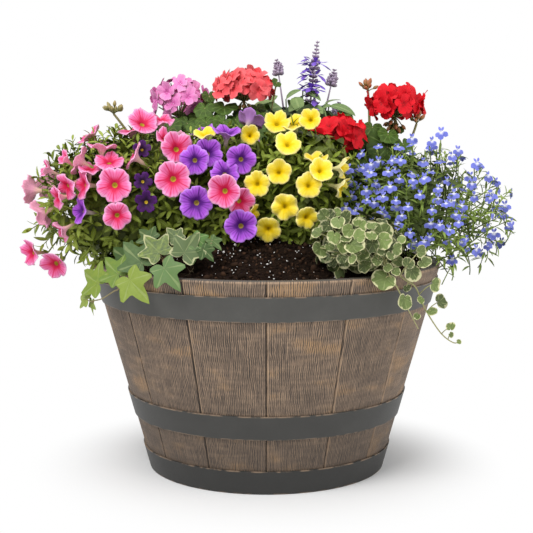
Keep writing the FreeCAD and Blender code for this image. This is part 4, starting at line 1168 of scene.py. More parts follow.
def nearest_on(tree, points):
    """Point of a surface nearest to each point."""
    return np.array([tree.find_nearest(Vector(point))[0] for point in points])


def middle_of(node):
    """Middle of a CAD node's box."""
    return np.add(*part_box(node)) / 2


def crown_of(roots):
    """Top of a root ball over its middle."""
    crown = middle_of(roots)
    crown[2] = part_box(roots)[1][2]
    return crown


def sight(pixel):
    """Direction from the camera through a pixel of the photograph."""
    across = (pixel[0] - FRAME_PIXELS / 2) / FOCAL_PIXELS
    up = (FRAME_PIXELS / 2 - pixel[1]) / FOCAL_PIXELS
    forward = np.array((0.0, math.cos(CAMERA_PITCH), -math.sin(CAMERA_PITCH)))
    upright = np.array((0.0, math.sin(CAMERA_PITCH), math.cos(CAMERA_PITCH)))
    return unit(np.array((across, 0.0, 0.0)) + up * upright + forward)


def pixel_of(point):
    """Pixel of the photograph where a point shows, and its depth; or those of many points."""
    across, back, rise = np.moveaxis(point - CAMERA_PLACE, -1, 0)
    depth = back * math.cos(CAMERA_PITCH) - rise * math.sin(CAMERA_PITCH)
    up = rise * math.cos(CAMERA_PITCH) + back * math.sin(CAMERA_PITCH)
    middle = FRAME_PIXELS / 2
    shown = (middle + FOCAL_PIXELS * across / depth, middle - FOCAL_PIXELS * up / depth)
    return np.stack(shown, axis=-1), depth


def heading(right, up):
    """Unit vector that faces the viewer, turned to the right and upwards by degrees."""
    turn = math.radians(right)
    lift = math.radians(up)
    return np.array((math.sin(turn) * math.cos(lift), -math.cos(turn) * math.cos(lift), math.sin(lift)))


def carried(tree, middle, pixel):
    """Point of a mound seen at a pixel, or the nearest one to the line of sight where it passes the mound."""
    way = sight(pixel)
    found = tree.ray_cast(Vector(CAMERA_PLACE), Vector(way))
    if found[0] is not None:
        return np.array(found[0])
    return nearest_on(tree, (CAMERA_PLACE + way * np.dot(middle - CAMERA_PLACE, way),))[0]


def on_drum(pixel, radius):
    """Nearest point on the line of sight through a pixel at a distance from the tub's axis."""
    way = sight(pixel)
    square = way[0] ** 2 + way[1] ** 2
    half = CAMERA_PLACE[0] * way[0] + CAMERA_PLACE[1] * way[1]
    rest = CAMERA_PLACE[0] ** 2 + CAMERA_PLACE[1] ** 2 - radius ** 2
    step = (-half - math.sqrt(max(half ** 2 - square * rest, 0.0))) / square
    return CAMERA_PLACE + way * step


def on_plane(pixel, point, normal):
    """Point on the line of sight through a pixel in the plane through a point square to a normal."""
    way = sight(pixel)
    return CAMERA_PLACE + way * (np.dot(point - CAMERA_PLACE, normal) / np.dot(way, normal))


def at_depths(pixels, depths):
    """Points on the lines of sight through pixels at distances behind the tub's axis."""
    return np.array([on_plane(pixel, BACK * depth, VIEWER) for pixel, depth in zip(pixels, depths)])


def lengths_of(pixels, points):
    """Lengths of things at points that show so many pixels long."""
    return pixels * pixel_of(points)[1] / FOCAL_PIXELS


def seated(blooms, nodes, length):
    """Foot, facing and diameter of blooms given by pixel, so that each limb shows at its pixel.

    The foot is on the mound, or beside it at the mound's distance where the limb stands clear of the mound.
    """
    tree = tree_of(*nodes)
    middle = np.mean([middle_of(node) for node in nodes], axis=0)
    feet = []
    ways = []
    widths = []
    rounds = 4
    for across, down, pixels, right, up, stand in blooms:
        goal = np.array((across, down), float)
        aim = goal.copy()
        way = heading(right, up)
        for _ in range(rounds):
            foot = carried(tree, middle, aim) - sight(aim) * stand / MM_PER_METRE
            shown, depth = pixel_of(foot + way * length)
            aim += goal - shown
        clear = (goal - shown) * depth / FOCAL_PIXELS
        feet.append(foot + np.array((clear[0], 0.0, -clear[1])))
        ways.append(way)
        widths.append(pixels * depth / FOCAL_PIXELS)
    return np.array(feet), np.array(ways), np.array(widths)


def smooth_route(points, steps):
    """Points along a smooth curve through a route: cubic spans that run into each other."""
    points = np.array(points)
    padded = np.concatenate((2 * points[:1] - points[1:2], points, 2 * points[-1:] - points[-2:-1]))
    place = np.linspace(0, len(points) - 1 - TINY, steps)
    span = place.astype(int)
    share = (place - span)[:, None]
    before, start, end, after = (padded[span + offset] for offset in range(4))
    square = 2 * before - 5 * start + 4 * end - after
    cube = 3 * start - before - 3 * end + after
    return 0.5 * (2 * start + (end - before) * share + square * share ** 2 + cube * share ** 3)


def vines_along(skin, start, routes, thick, thin, tint, steps=30):
    """Stems from a start along routes of pixels and distances from the tub's axis; gives all their points."""
    vines = []
    for route in routes:
        path = smooth_route([start] + [on_drum(place[:2], place[2]) for place in route], steps)
        tubes(skin, path[None], radius=np.linspace(thick, thin, steps), tint=tint, sides=7)
        vines.append(path)
    return np.concatenate(vines)


def leafy_stems(skin, base, tips, rng, number, length, width, bright, pairs=False, **blade):
    """Bowed stems from base to tips, with leaves in a spiral or in pairs, brighter towards the tip: painted
    light outside, painted shade within.
    """
    count = len(base)
    bow_share = 0.1
    first_leaf = 0.25
    lowest_opening = 82
    tip_opening = 30
    bow = UP * np.linalg.norm(tips - base, axis=1)[:, None] * bow_share
    thickness = np.linspace(0.0011, 0.0006, 5)
    stalks(skin, base, tips, bow, thickness, tint=rng.random(count), steps=5, sides=4)
    share = np.linspace(first_leaf, 1.0, number)
    spots = bowed(base, tips, bow, share)
    ahead = unit(np.gradient(spots, axis=1))
    side, up = cross_frame(ahead)
    step = np.arange(number)
    spiral = (step // 2) * (math.pi / 2) + (step % 2) * math.pi if pairs else step * GOLDEN
    turn = spiral + rng.uniform(0, ROUND, (count, 1))
    radial = spokes_at(turn, side, up)
    opening = np.linspace(lowest_opening, tip_opening, number) + rng.uniform(-12, 12, (count, number))
    opening = np.radians(opening)[..., None]
    out = (ahead * np.cos(opening) + radial * np.sin(opening)).reshape(-1, 3)
    face = unit((ahead * np.sin(opening) - radial * np.cos(opening)).reshape(-1, 3) + 0.45 * UP)
    size = np.interp(share, (first_leaf, 0.6, 1.0), (0.85, 1.05, 0.6))
    size = (size * rng.uniform(0.75, 1.15, (count, number))).reshape(-1)
    # Tint rises towards the tip: painted light on the outer leaves, painted shade on the inner ones, with
    # random tone by shoot and leaf.
    tint = bright + 0.3 * share + rng.normal(0, 0.1, (count, 1)) + rng.normal(0, 0.09, (count, number))
    tint = np.clip(tint, 0, 1).reshape(-1)
    blades(skin, spots.reshape(-1, 3), out, face, length * size, width * size, tint, **blade)
    return spots, ahead, radial


def leafy_shoots(skin, node, rng, count, number, length, width, reach, beyond, lift, lowest, pairs=False,
                 inset=0.0, clear=(0, 0, 0), bright=0.28, airy=None, **blade):
    """Leafy stems out of a mound, each from inside to a surface point.

    No shoot ends below the height lowest. Shoots inside clear, a pixel and a radius in pixels, stay low.
    Where the mound is airy, two places from left to right have the shares of the shoots that grow there.
    """
    tries = 6
    closeness = 0.74
    points, normals = surface_points(node, count * tries, rng)
    high = points[:, 2] > lowest
    gap = closeness * math.sqrt(surface_area(node) * high.mean() / count)
    points = points[high]
    normals = normals[high]
    kept = thinned(points, gap)[:count]
    if airy:
        kept = kept[rng.random(len(kept)) < np.interp(points[kept, 0], *airy)]
    normals = normals[kept]
    shown = pixel_of(points[kept])[0]
    free = np.linalg.norm(shown - np.array(clear[:2]), axis=1) > clear[2]
    points = points[kept] - normals * np.where(free, inset, inset + LOW_SHOOT)[:, None]
    count = len(points)
    way = unit(normals + lift * UP + rng.normal(0.0, 0.28, normals.shape))
    long = reach * rng.uniform(0.75, 1.2, (count, 1))
    out_by = rng.uniform(-0.6, 1.0, (count, 1))
    tips = points + way * out_by * beyond
    base = tips - way * long - UP * 0.2 * long
    # Shoots that stand further out get brighter leaves: painted light.
    bright = bright + 0.12 * out_by
    return leafy_stems(skin, base, tips, rng, number, length, width, bright, pairs, **blade)


def branches(skin, roots, ends, rng):
    """Thin stems from the crown of a root ball to the feet of its outer shoots, some bowed higher."""
    crown = crown_of(roots) + np.zeros_like(ends)
    bow = UP * rng.uniform(-0.01, 0.07, (len(ends), 1))
    stalks(skin, crown, ends, bow=bow, radius=0.0008, tint=rng.random(len(ends)), steps=8, sides=4)


def shade_leaves(skin, node, rng, count, length, width, depth, lowest, airy=None):
    """Old leaves under the outer ones, painted dark as shade, which close the view into a mound above lowest,
    except where airy.
    """
    points, normals = surface_points(node, count, rng)
    high = points[:, 2] > lowest
    if airy:
        places, shares = airy
        high &= rng.random(len(high)) < np.interp(points[:, 0], places, np.floor(shares))
    points = points[high]
    normals = normals[high]
    count = len(points)
    base = points - normals * depth * rng.uniform(0.6, 1.6, (count, 1))
    face = unit(normals + 0.3 * UP + rng.normal(0, 0.3, (count, 3)))
    way = unit(np.cross(face, rng.normal(size=(count, 3))) + 0.3 * normals)
    # Low tints paint these leaves dark: painted shade.
    tint = rng.uniform(0.0, 0.3, count)
    size = rng.uniform(0.75, 1.2, count)
    blades(skin, base - way * (length * size / 2)[:, None], way, face, length * size, width * size, tint)


# Pieces


def dress(nodes, finish):
    """Give CAD nodes a finish."""
    for node in nodes:
        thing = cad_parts[node]
        for slot in thing.material_slots:
            slot.material = finish


def lay_mix(mix):
    """Bark crumbs and perlite over the potting mix, clear of the root balls."""
    rng = np.random.default_rng(SEEDS["mix"])
    dress(("potting_mix",), earth_finish("potting_mix", mix.earth, grit=190.0))
    tries = 6
    level = 0.85
    below_rim = 0.008
    points, normals = surface_points("potting_mix", mix.crumbs * tries, rng)
    clear = normals[:, 2] > level
    clear &= points[:, 2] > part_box("stave_01")[1][2] - below_rim
    for node in ROOTS:
        low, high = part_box(node)
        centre = middle_of(node)
        radius = (high[0] - low[0]) / 2 + mix.crumb
        clear &= np.hypot(points[:, 0] - centre[0], points[:, 1] - centre[1]) > radius
    points = points[clear]
    rng.shuffle(points)
    crumbs = Skin()
    bark = points[:mix.crumbs]
    size = mix.crumb * rng.lognormal(-0.25, 0.4, len(bark))
    lumps(crumbs, bark + UP * (0.12 * size)[:, None], size, rng.random(len(bark)), rng)
    crumbs.build("potting_crumbs", "tub", crumb_finish(mix.earth), "potting_mix")
    white = points[mix.crumbs:mix.crumbs + mix.grains]
    perlite = Skin()
    size = mix.crumb * rng.lognormal(-0.95, 0.35, len(white))
    lumps(perlite, white + UP * (mix.crumb * 0.35 + 0.3 * size)[:, None], size, rng.random(len(white)), rng)
    perlite.build("perlite_grains", "tub", perlite_finish(), "potting_mix")


def bloom_stalks(skin, foot, facing, tree, rng):
    """Calyx of five narrow sepals round the foot of each bloom, and a stalk that runs back into the mound."""
    count = len(foot)
    axis = unit(facing)
    side, up = cross_frame(axis)
    sepals = 5
    neck = 0.0012
    near = 0.012
    sunk = 0.02
    radial = spokes_at(np.arange(sepals) * (ROUND / sepals), side[:, None], up[:, None])
    base = (foot[:, None] + radial * neck).reshape(-1, 3)
    way = (axis[:, None] + radial * 0.5).reshape(-1, 3)
    face = (axis[:, None] * 0.5 - radial).reshape(-1, 3)
    tint = rng.uniform(0.4, 0.8, count * sepals)
    blades(skin, base, way, face, length=0.013, width=0.0034, tint=tint, bend=-0.3)
    mound = nearest_on(tree, foot)
    apart = np.linalg.norm(mound - foot, axis=1)[:, None] > near
    tail = np.where(apart, mound + unit(mound - foot) * sunk, foot - axis * 0.024 - UP * 0.016)
    stalks(skin, tail, foot, bow=UP * 0.004, radius=0.0011, tint=rng.random(count))


def far_blooms(node, rng, gap, width, away):
    """Blooms on the top, back and outer sides of a mound, which the photograph doesn't show."""
    tries = 700
    rear_strip = 0.02
    outer_side = 0.28
    crest_drop = 0.035
    top_band = 0.05
    top_strip = 0.11
    top_inset = 0.02
    side_inset = 0.014
    points, normals = surface_points(node, tries, rng)
    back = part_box(node)[1][1]
    crest = points[:, 2].max()
    edge = (points[:, 1] > back - rear_strip) | (np.abs(points[:, 0]) > outer_side)
    level = (normals[:, 2] > -0.3) & (np.abs(normals).max(axis=1) < 0.995)
    outer = (points[:, 2] < crest - crest_drop) & edge & (normals[:, 1] > away) & level
    top = (normals[:, 2] > 0.86) & (points[:, 2] > crest - top_band) & (points[:, 1] > back - top_strip)
    chosen = outer | top
    inset = np.where(top, top_inset, side_inset)[chosen, None]
    points = points[chosen] - normals[chosen] * inset
    normals = normals[chosen]
    if not len(points):
        return np.empty((0, 3)), np.empty((0, 3)), np.empty(0)
    kept = thinned(points, gap)
    facing = unit(normals[kept] + rng.normal(0, 0.2, (len(kept), 3)))
    return points[kept], facing, rng.uniform(0.85, 1.1, len(kept)) * width


def grow_petunias(petunia):
    """Three petunias: leafy shoots on each mound and trumpet blooms where the photograph shows them."""
    rng = np.random.default_rng(SEEDS["petunias"])
    leaf = blade_finish("petunia_leaf", petunia.green)
    shown = {"pink": PINK_BLOOMS, "violet": VIOLET_BLOOMS, "yellow": YELLOW_BLOOMS}
    for colour, blooms in shown.items():
        plant = f"{colour}_petunia"
        node = f"{plant}_foliage"
        greens = Skin()
        pink = colour == "pink"
        wider = 1.5 if pink else 1.0
        airy = PINK_AIRY if pink else None
        blade = (petunia.leaves, petunia.leaf_length, petunia.leaf_width)
        spots = leafy_shoots(
            greens, node, rng, int(petunia.shoots * wider), *blade, reach=0.055, beyond=0.015, lift=0.3,
            lowest=0.308, clear=HEAD_VIEW[colour], airy=airy, bend=0.7, cup=0.3, widest=0.5, fullness=0.75)[0]
        shade_leaves(greens, node, rng, int(420 * wider), length=0.038, width=0.015, depth=0.009,
                     lowest=0.318, airy=airy)
        if airy:
            branches(greens, f"{plant}_roots", spots[spots[:, 0, 0] < airy[0][1], 0], rng)
        seen = seated(blooms, PETUNIA_MOUNDS, petunia.length)
        more = far_blooms(node, rng, gap=0.052, width=0.046, away=0.5)
        foot, facing, width = (np.concatenate(pair) for pair in zip(seen, more))
        bloom_stalks(greens, foot, facing, tree_of(*PETUNIA_MOUNDS), rng)
        if pink:
            sprigs = np.array(PINK_SPRIGS)
            tips = at_depths(sprigs[:, :2], sprigs[:, 2])
            base = nearest_on(tree_of(node), tips)
            base = base + unit(base - tips) * 0.03
            leafy_stems(greens, base, tips, rng, *blade, bright=0.4)
        greens.build(f"{plant}_shoots", "petunias", leaf, "petunia_leaf", node)
        petals = Skin()
        trumpets(petals, foot, facing, width, petunia.length, rng.random(len(foot)), rng)
        petal = petal_finish(f"{colour}_petal", getattr(petunia, colour), **PETUNIA_PETALS[colour])
        petals.build(f"{plant}_blooms", "petunias", petal, f"{colour}_petal", f"{plant}_flowers")
    stars = Skin()
    short = petunia.length * 0.6
    foot, facing, width = seated(DARK_BLOOMS, PETUNIA_MOUNDS, short)
    trumpets(stars, foot, facing, width, short, rng.random(len(foot)), rng, notch=0.4)
    dark = petal_finish("dark_violet_petal", DARK_VIOLET, **PETUNIA_PETALS["dark"])
    stars.build("dark_petunia_blooms", "petunias", dark, "violet_petal")


def lobelia_flowers(petals, stems, place, facing, petal, rng):
    """Small flowers: three broad lower petals, two narrow upper ones and a thin stalk behind."""
    count = len(place)
    axis = unit(facing)
    side, up = cross_frame(axis)
    scale = rng.uniform(0.74, 1.06, count)
    for angle, long, wide in LOBELIA_PETALS:
        radial = spokes_at(math.radians(angle) + rng.normal(0, 0.07, count), side, up)
        way = radial + axis * 0.3
        face = axis - radial * 0.3
        size = petal * scale * rng.uniform(0.92, 1.08, count)
        blades(petals, place, way, face, size * long, size * wide, rng.random(count), bend=0.6, cup=-0.12,
               widest=0.62, fullness=0.62, rows=6)
    tail = place - axis * 0.012 - UP * 0.004
    thickness = np.array((0.0005, 0.0006, 0.001, 0.0012))
    stalks(stems, tail, place, bow=UP * 0.003, radius=thickness, tint=rng.random(count), steps=4, sides=4)


def grow_lobelia(lobelia):
    """Lobelia: thin leafy shoots that reach out of the mound, with flowers along their ends."""
    rng = np.random.default_rng(SEEDS["lobelia"])
    node = "lobelia_foliage"
    greens = Skin()
    grown = leafy_shoots(
        greens, node, rng, lobelia.shoots, lobelia.leaves, length=0.02, width=0.0042, reach=0.07, beyond=0.02,
        lift=0.35, lowest=0.322, bright=0.36, airy=LOBELIA_AIRY, bend=0.5, cup=0.3, widest=0.45, fullness=0.9,
        rows=5)
    shade_leaves(greens, node, rng, 1100, length=0.024, width=0.0062, depth=0.008, lowest=0.335,
                 airy=LOBELIA_AIRY)
    spots = grown[0]
    branches(greens, "lobelia_roots", spots[spots[:, 0, 0] > LOBELIA_AIRY[0][0], 0], rng)
    ends, ways, sides = (
        np.concatenate((values[:, -1], values[::2, -3], values[::3, -5])) for values in grown)
    stand = 0.009
    front_stand = 0.012
    flower_gap = 0.0172
    bud_length = 0.006
    place = ends + unit(sides + ways * 0.5) * stand
    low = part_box(node)[0]
    middle = middle_of(node)
    outward = unit(place - middle)
    inside = (place[:, 0] > low[0] + 0.004) & (outward[:, 2] > -0.55)
    place = place[inside]
    forward = np.array((0.0, -0.45, 0.05)) * (place[:, 1:2] < middle[1])
    facing = unit(outward[inside] * 0.9 + sides[inside] * 0.65 + forward)
    kept = thinned(place, flower_gap)
    petals = Skin()
    lobelia_flowers(petals, greens, place[kept], facing[kept], lobelia.petal, rng)
    tree = tree_of(node, "yellow_petunia_foliage")
    front = [carried(tree, middle, pixel) - sight(pixel) * front_stand for pixel in LOBELIA_FRONT]
    depths = rng.uniform(-0.09, -0.02, len(LOBELIA_SPRAYS))
    front = np.concatenate((front, at_depths(LOBELIA_SPRAYS, depths)))
    count = len(front)
    right = rng.uniform(-0.5, 0.4, count)
    turned = np.stack((right, np.full(count, -1.0), rng.uniform(0.0, 0.5, count)), axis=1)
    lobelia_flowers(petals, greens, front, turned, lobelia.petal, rng)
    roots = nearest_on(tree_of(node), front) - UP * 0.03
    sprays = bowed(roots, front - unit(turned) * 0.01, np.array((0.004, -0.012, 0.0)), np.linspace(0, 1, 7))
    tubes(greens, sprays, radius=0.0008, tint=rng.random(count), sides=4)
    spots = sprays[:, 2:6].reshape(-1, 3)
    way = unit(rng.normal(size=spots.shape) + np.array((0.0, -0.6, 0.5)))
    face = unit(rng.normal(0, 0.4, spots.shape) + UP)
    tint = rng.uniform(0.35, 0.8, len(spots))
    blades(greens, spots, way, face, length=0.019, width=0.004, tint=tint, rows=5)
    buds = ends[::4]
    thickness = np.array((0.0006, 0.0017, 0.0015, 0.0004))
    tint = rng.uniform(0.8, 1.0, len(buds))
    stalks(greens, buds, buds + ways[::4] * bud_length, bow=0.0, radius=thickness, tint=tint, steps=4)
    leaf = blade_finish("lobelia_leaf", lobelia.green, rib_share=0.25)
    greens.build("lobelia_shoots", "lobelia", leaf, "lobelia_leaf", node)
    blue = floret_finish("lobelia_petal", lobelia.blue, eye=(0.8, 0.8, 0.92), back=(0.3, 0.32, 0.84))
    petals.build("lobelia_blooms", "lobelia", blue, "blue_petal", "lobelia_flowers")


def flower_head(petals, stems, buds, head, rng):
    """Domed geranium head: florets of five broad petals in a golden spiral, their stalks and hanging buds."""
    centre, half_width, half_height, florets, petal, lowest = head
    centre = np.array(centre)
    step = np.arange(florets)
    level = 0.98 - (step + 0.5) / florets * (0.98 - lowest) + rng.uniform(-0.03, 0.03, florets)
    level = np.clip(level, -0.95, 0.99)
    out = on_ball(level, step * GOLDEN + rng.uniform(-0.07, 0.07, florets))
    half = np.array((half_width, half_width, half_height)) - petal * 0.4
    place = centre + out * (half * rng.uniform(0.84, 1.08, (florets, 1)))
    facing = unit(out * np.array((1.0, 1.0, 0.8)) + rng.normal(0, 0.22, out.shape))
    side, up = cross_frame(facing)
    start = rng.uniform(0, ROUND, florets)
    for part in range(5):
        radial = spokes_at(start + part * ROUND / 5 + rng.normal(0, 0.14, florets), side, up)
        tilt = rng.uniform(0.15, 0.75, (florets, 1))
        size = petal * rng.uniform(0.78, 1.1, florets)
        # Lower florets get lower tints and show darker: painted shade under the top of the head.
        tint = np.clip(0.48 + 0.22 * level + rng.normal(0, 0.24, florets), 0, 1)
        round_blades(
            petals, place + radial * 0.001, radial + facing * tilt, facing - radial * tilt, size, tint,
            PETAL_OUTLINE, cup=rng.uniform(0.05, 0.5, florets), ripple=0.1, spokes=14, bunch=1.6)
    node = centre - UP * (half_height * 0.75)
    hub = np.broadcast_to(node, place.shape)
    tint = rng.uniform(0, 0.5, florets)
    stalks(stems, hub, place - facing * 0.002, bow=UP * -0.003, radius=0.0009, tint=tint, sides=4)
    hanging_buds(stems, buds, node, rng, count=13, slope=-0.75, reach=0.014)
    return node


def hanging_buds(stems, buds, node, rng, count, slope, reach):
    """Closed buds on short stalks round a point; slope is how far they point up or hang."""
    turn = np.arange(count) * GOLDEN + rng.uniform(0, 6)
    way = on_ball(np.clip(slope + rng.uniform(-0.35, 0.35, count), -0.98, 0.98), turn)
    hub = np.broadcast_to(node, way.shape)
    ends = node + way * reach * rng.uniform(0.6, 1.1, (count, 1))
    stalks(stems, hub, ends, bow=UP * 0.002, radius=0.0008, tint=rng.uniform(0, 0.4, count), steps=4, sides=4)
    bud_length = 0.0105
    shape = np.array((0.0008, 0.0024, 0.0029, 0.0022, 0.0006))
    tint = rng.random(count)
    stalks(buds, ends, ends + way * bud_length, bow=0.0, radius=shape, tint=tint, steps=5, sides=6)


def grow_geranium(name, geranium, eye, pale, bud):
    """Geranium: round scalloped leaves on their stalks, flower stalks, domed heads and bud clusters."""
    rng = np.random.default_rng(SEEDS["geranium"] + len(name))
    colour = getattr(geranium, name)
    body = f"{name}_geranium"
    node = f"{body}_leaves"
    points, normals = spread_points(node, geranium.leaves, geranium.leaf * 0.58, rng)
    count = len(points)
    depth = rng.uniform(-0.006, 0.02, (count, 1))
    face = unit(normals * 0.8 + UP * 0.5 + rng.normal(0, 0.22, normals.shape))
    drop = normals + np.array((0.0, 0.0, -0.6))
    way = unit(np.cross(np.cross(face, drop), face) + rng.normal(0, 0.35, normals.shape))
    radius = geranium.leaf * rng.uniform(0.62, 1.12, count)
    base = points - normals * depth - way * (radius * 0.45)[:, None]
    leaves = Skin()
    tint = np.clip(rng.normal(0.5, 0.2, count), 0, 1)
    round_blades(leaves, base, way, face, radius, tint, GERANIUM_OUTLINE, cup=rng.uniform(-0.05, 0.3, count),
                 ripple=0.07, spokes=36)
    stems = Skin()
    buds = Skin()
    foot = base - normals * 0.035 - UP * 0.045
    stalks(stems, foot, base, bow=UP * 0.01, radius=0.0013, tint=rng.random(count), steps=6)
    table = np.array(GERANIUM_LEAVES[name])
    count = len(table)
    middle = at_depths(table[:, :2], table[:, 5])
    face = np.array([heading(*row[3:5]) for row in table])
    drop = np.stack((rng.normal(0, 0.4, count), np.full(count, -0.5), np.full(count, -0.7)), axis=1)
    way = unit(np.cross(np.cross(face, drop), face))
    radius = lengths_of(table[:, 2], middle)
    base = middle - way * (radius * 0.2)[:, None]
    tint = rng.uniform(0.35, 0.75, count)
    round_blades(leaves, base, way, face, radius, tint, GERANIUM_OUTLINE, cup=rng.uniform(0.0, 0.3, count),
                 ripple=0.09, spokes=36)
    tree = tree_of(node)
    foot = nearest_on(tree, base) - UP * 0.02
    stalks(stems, foot, base, bow=UP * 0.006, radius=0.0013, tint=rng.random(count), steps=6)
    leaves.build(f"{body}_blades", body, zonal_finish(geranium.green), "geranium_leaf", node)
    petals = Skin()
    joints = [flower_head(petals, stems, buds, head, rng) for head in GERANIUM_HEADS[name]]
    for cluster in BUD_CLUSTERS[name]:
        joints.append(np.array(cluster))
        hanging_buds(stems, buds, joints[-1], rng, count=14, slope=0.72, reach=0.01)
    joints = np.array(joints)
    feet = nearest_on(tree, joints)
    feet = feet + (feet - joints) * 0.2
    bow = np.array((0.004, 0.0, 0.0))
    stalks(stems, feet, joints, bow=bow, radius=np.linspace(0.0024, 0.0018, 8), tint=0.5, steps=8, sides=8)
    green = stem_finish(f"{body}_stem", (0.2, 0.24, 0.07), (0.27, 0.22, 0.09))
    stems.build(f"{body}_stems", body, green, "green_stalk", f"{body}_stalks")
    red = stem_finish(f"{body}_bud", (0.24, 0.28, 0.08), bud)
    buds.build(f"{body}_buds", body, red, "green_stalk")
    finish = floret_finish(f"{body}_petal", colour, eye, between(colour, pale, 0.4))
    petals.build(f"{body}_heads", body, finish, f"{name}_petal", f"{body}_flowers")


def salvia_spike(petals, calyces, foot, tip, flowering, rng):
    """Spike: whorls of calyces that shrink towards the tip, with lipped flowers on the tall one."""
    foot = np.array(foot)
    tip = np.array(tip)
    way = unit(tip - foot)
    side, up = cross_frame(way[None])
    length = np.linalg.norm(tip - foot)
    tall_from = 0.06
    tall = flowering > tall_from
    pitch = 0.0068 if tall else 0.0046
    whorls = max(6, int(flowering / pitch))
    rise = np.linspace(0, 1, whorls) ** (0.8 if tall else 1.0)
    share = 1 - flowering / length * (1 - rise * 0.97)
    around = 8
    turn = np.arange(around) * (ROUND / around) + (np.arange(whorls) * 0.45)[:, None]
    radial = spokes_at(turn + rng.normal(0, 0.2, turn.shape), side, up)
    shrink = np.interp(np.linspace(0, 1, whorls), (0, 0.5, 1), (1.0, 0.9, 0.4))[:, None, None]
    shrink = shrink * rng.uniform(0.8, 1.15, (whorls, around, 1))
    calyx = 0.0078
    hub = foot + (tip - foot) * share[:, None, None] + radial * 0.002 * shrink
    out = unit(radial + way * rng.uniform(0.3, 0.9, (whorls, around, 1)))
    start = hub.reshape(-1, 3)
    end = (hub + out * calyx * shrink).reshape(-1, 3)
    shape = np.array((0.001, 0.0026, 0.0028, 0.0016)) * shrink.reshape(-1, 1)
    stalks(calyces, start, end, bow=0.0, radius=shape, tint=rng.random(len(start)), steps=4)
    stalk = np.stack((foot, foot + (tip - foot) * 0.5, tip))[None]
    tubes(calyces, stalk, radius=np.array((0.0017, 0.0014, 0.0008)), tint=0.1, sides=6)
    if not tall:
        return
    low = np.flatnonzero(rise < 0.78)
    chosen = (hub + out * 0.0075)[low].reshape(-1, 3)
    ways = unit(radial + way * 0.2)[low].reshape(-1, 3)
    busy = np.repeat(np.where(low % 3 == 0, 0.62, 0.14), around)
    pick = rng.random(len(chosen)) < busy
    chosen = chosen[pick]
    ways = ways[pick]
    count = len(chosen)
    tints = rng.random(count)
    lean = np.cross(ways, UP)
    for lift, turned, long, wide in SALVIA_LIPS:
        out = ways + UP * lift + lean * turned
        size = long * rng.uniform(0.6, 1.35, count)
        blades(petals, chosen, out, UP + ways * -lift, size, wide, tints, bend=rng.uniform(0.0, 1.3, count),
               cup=-0.2, widest=0.68, fullness=0.55, rows=5)


def grow_salvia(salvia):
    """Salvia: pairs of ovate leaves up the shoots, and violet spikes."""
    rng = np.random.default_rng(SEEDS["salvia"])
    node = "salvia_leaves"
    greens = Skin()
    leafy_shoots(
        greens, node, rng, salvia.shoots, 8, salvia.leaf_length, salvia.leaf_width, reach=0.085, beyond=0.006,
        lift=0.9, lowest=0.345, pairs=True, inset=0.02, bend=0.8, cup=0.22, widest=0.38, fullness=0.72,
        rows=9)
    shade_leaves(greens, node, rng, 320, length=0.05, width=0.026, depth=0.006, lowest=0.32)
    table = np.array(SALVIA_LEAVES)
    base = at_depths(table[:, :2], table[:, 5])
    chord = at_depths(table[:, 2:4], table[:, 6]) - base
    long = np.linalg.norm(chord, axis=1)
    face = unit(UP + VIEWER * table[:, 7:8])
    width = lengths_of(table[:, 4], base)
    way = chord + face * long[:, None] * 0.3
    tint = rng.uniform(0.56, 0.88, len(table))
    blades(greens, base, way, face, long * 1.04, width * 1.25, tint, bend=0.6, cup=0.2, widest=0.4,
           fullness=0.72, rows=11)
    feet = nearest_on(tree_of(node), base) - UP * 0.025
    stalks(greens, feet, base, bow=UP * 0.004, radius=0.0012, tint=0.5, steps=6)
    leaf = blade_finish("salvia_leaf", salvia.green, rib_share=0.6, gloss=0.62)
    greens.build("salvia_shoots", "salvia", leaf, "salvia_leaf", node)
    petals = Skin()
    calyces = Skin()
    for foot, tip, flowering in SALVIA_SPIKES:
        salvia_spike(petals, calyces, foot, tip, flowering, rng)
    grey = stem_finish("salvia_calyx", salvia.calyx, shade(salvia.calyx, 1.7))
    calyces.build("salvia_calyces", "salvia", grey, "salvia_petal", "salvia_spikes")
    lip = floret_finish("salvia_lip", salvia.violet, shade(salvia.violet, 1.5), shade(salvia.violet, 1.8))
    petals.build("salvia_lips", "salvia", lip, "salvia_petal")


def grow_ivy(trail):
    """Ivy: stems that leave the crown over the rim, and lobed leaves, some with cream margins."""
    rng = np.random.default_rng(SEEDS["ivy"])
    stems = Skin()
    vines = vines_along(stems, crown_of("ivy_roots"), IVY_TRAILS, thick=0.0014, thin=0.0008, tint=0.4)
    table = np.array(IVY_LEAVES)
    base = np.array([on_drum(row[:2], row[4]) for row in table])
    face = np.array([heading(*row[5:7]) for row in table])
    tips = np.array([on_plane(row[2:4], spot, way) for row, spot, way in zip(table, base, face)])
    length = np.linalg.norm(tips - base, axis=1)
    leaves = Skin()
    round_blades(leaves, base, tips - base, face, length, table[:, 7], IVY_OUTLINE, cup=0.12, spokes=40)
    nearest = np.linalg.norm(vines[:, None] - base, axis=2).argmin(axis=0)
    joints = vines[np.maximum(nearest - 1, 0)]
    tint = rng.uniform(0.2, 0.7, len(base))
    stalks(stems, joints, base, bow=UP * -0.004, radius=0.0008, tint=tint, steps=6, sides=6)
    brown = stem_finish("ivy_vine", (0.2, 0.115, 0.055), (0.24, 0.22, 0.1))
    stems.build("ivy_vines", "ivy", brown, "vine_stem", "ivy_stems")
    leaves.build("ivy_blades", "ivy", ivy_finish(trail), "ivy_leaf", "ivy_leaves")


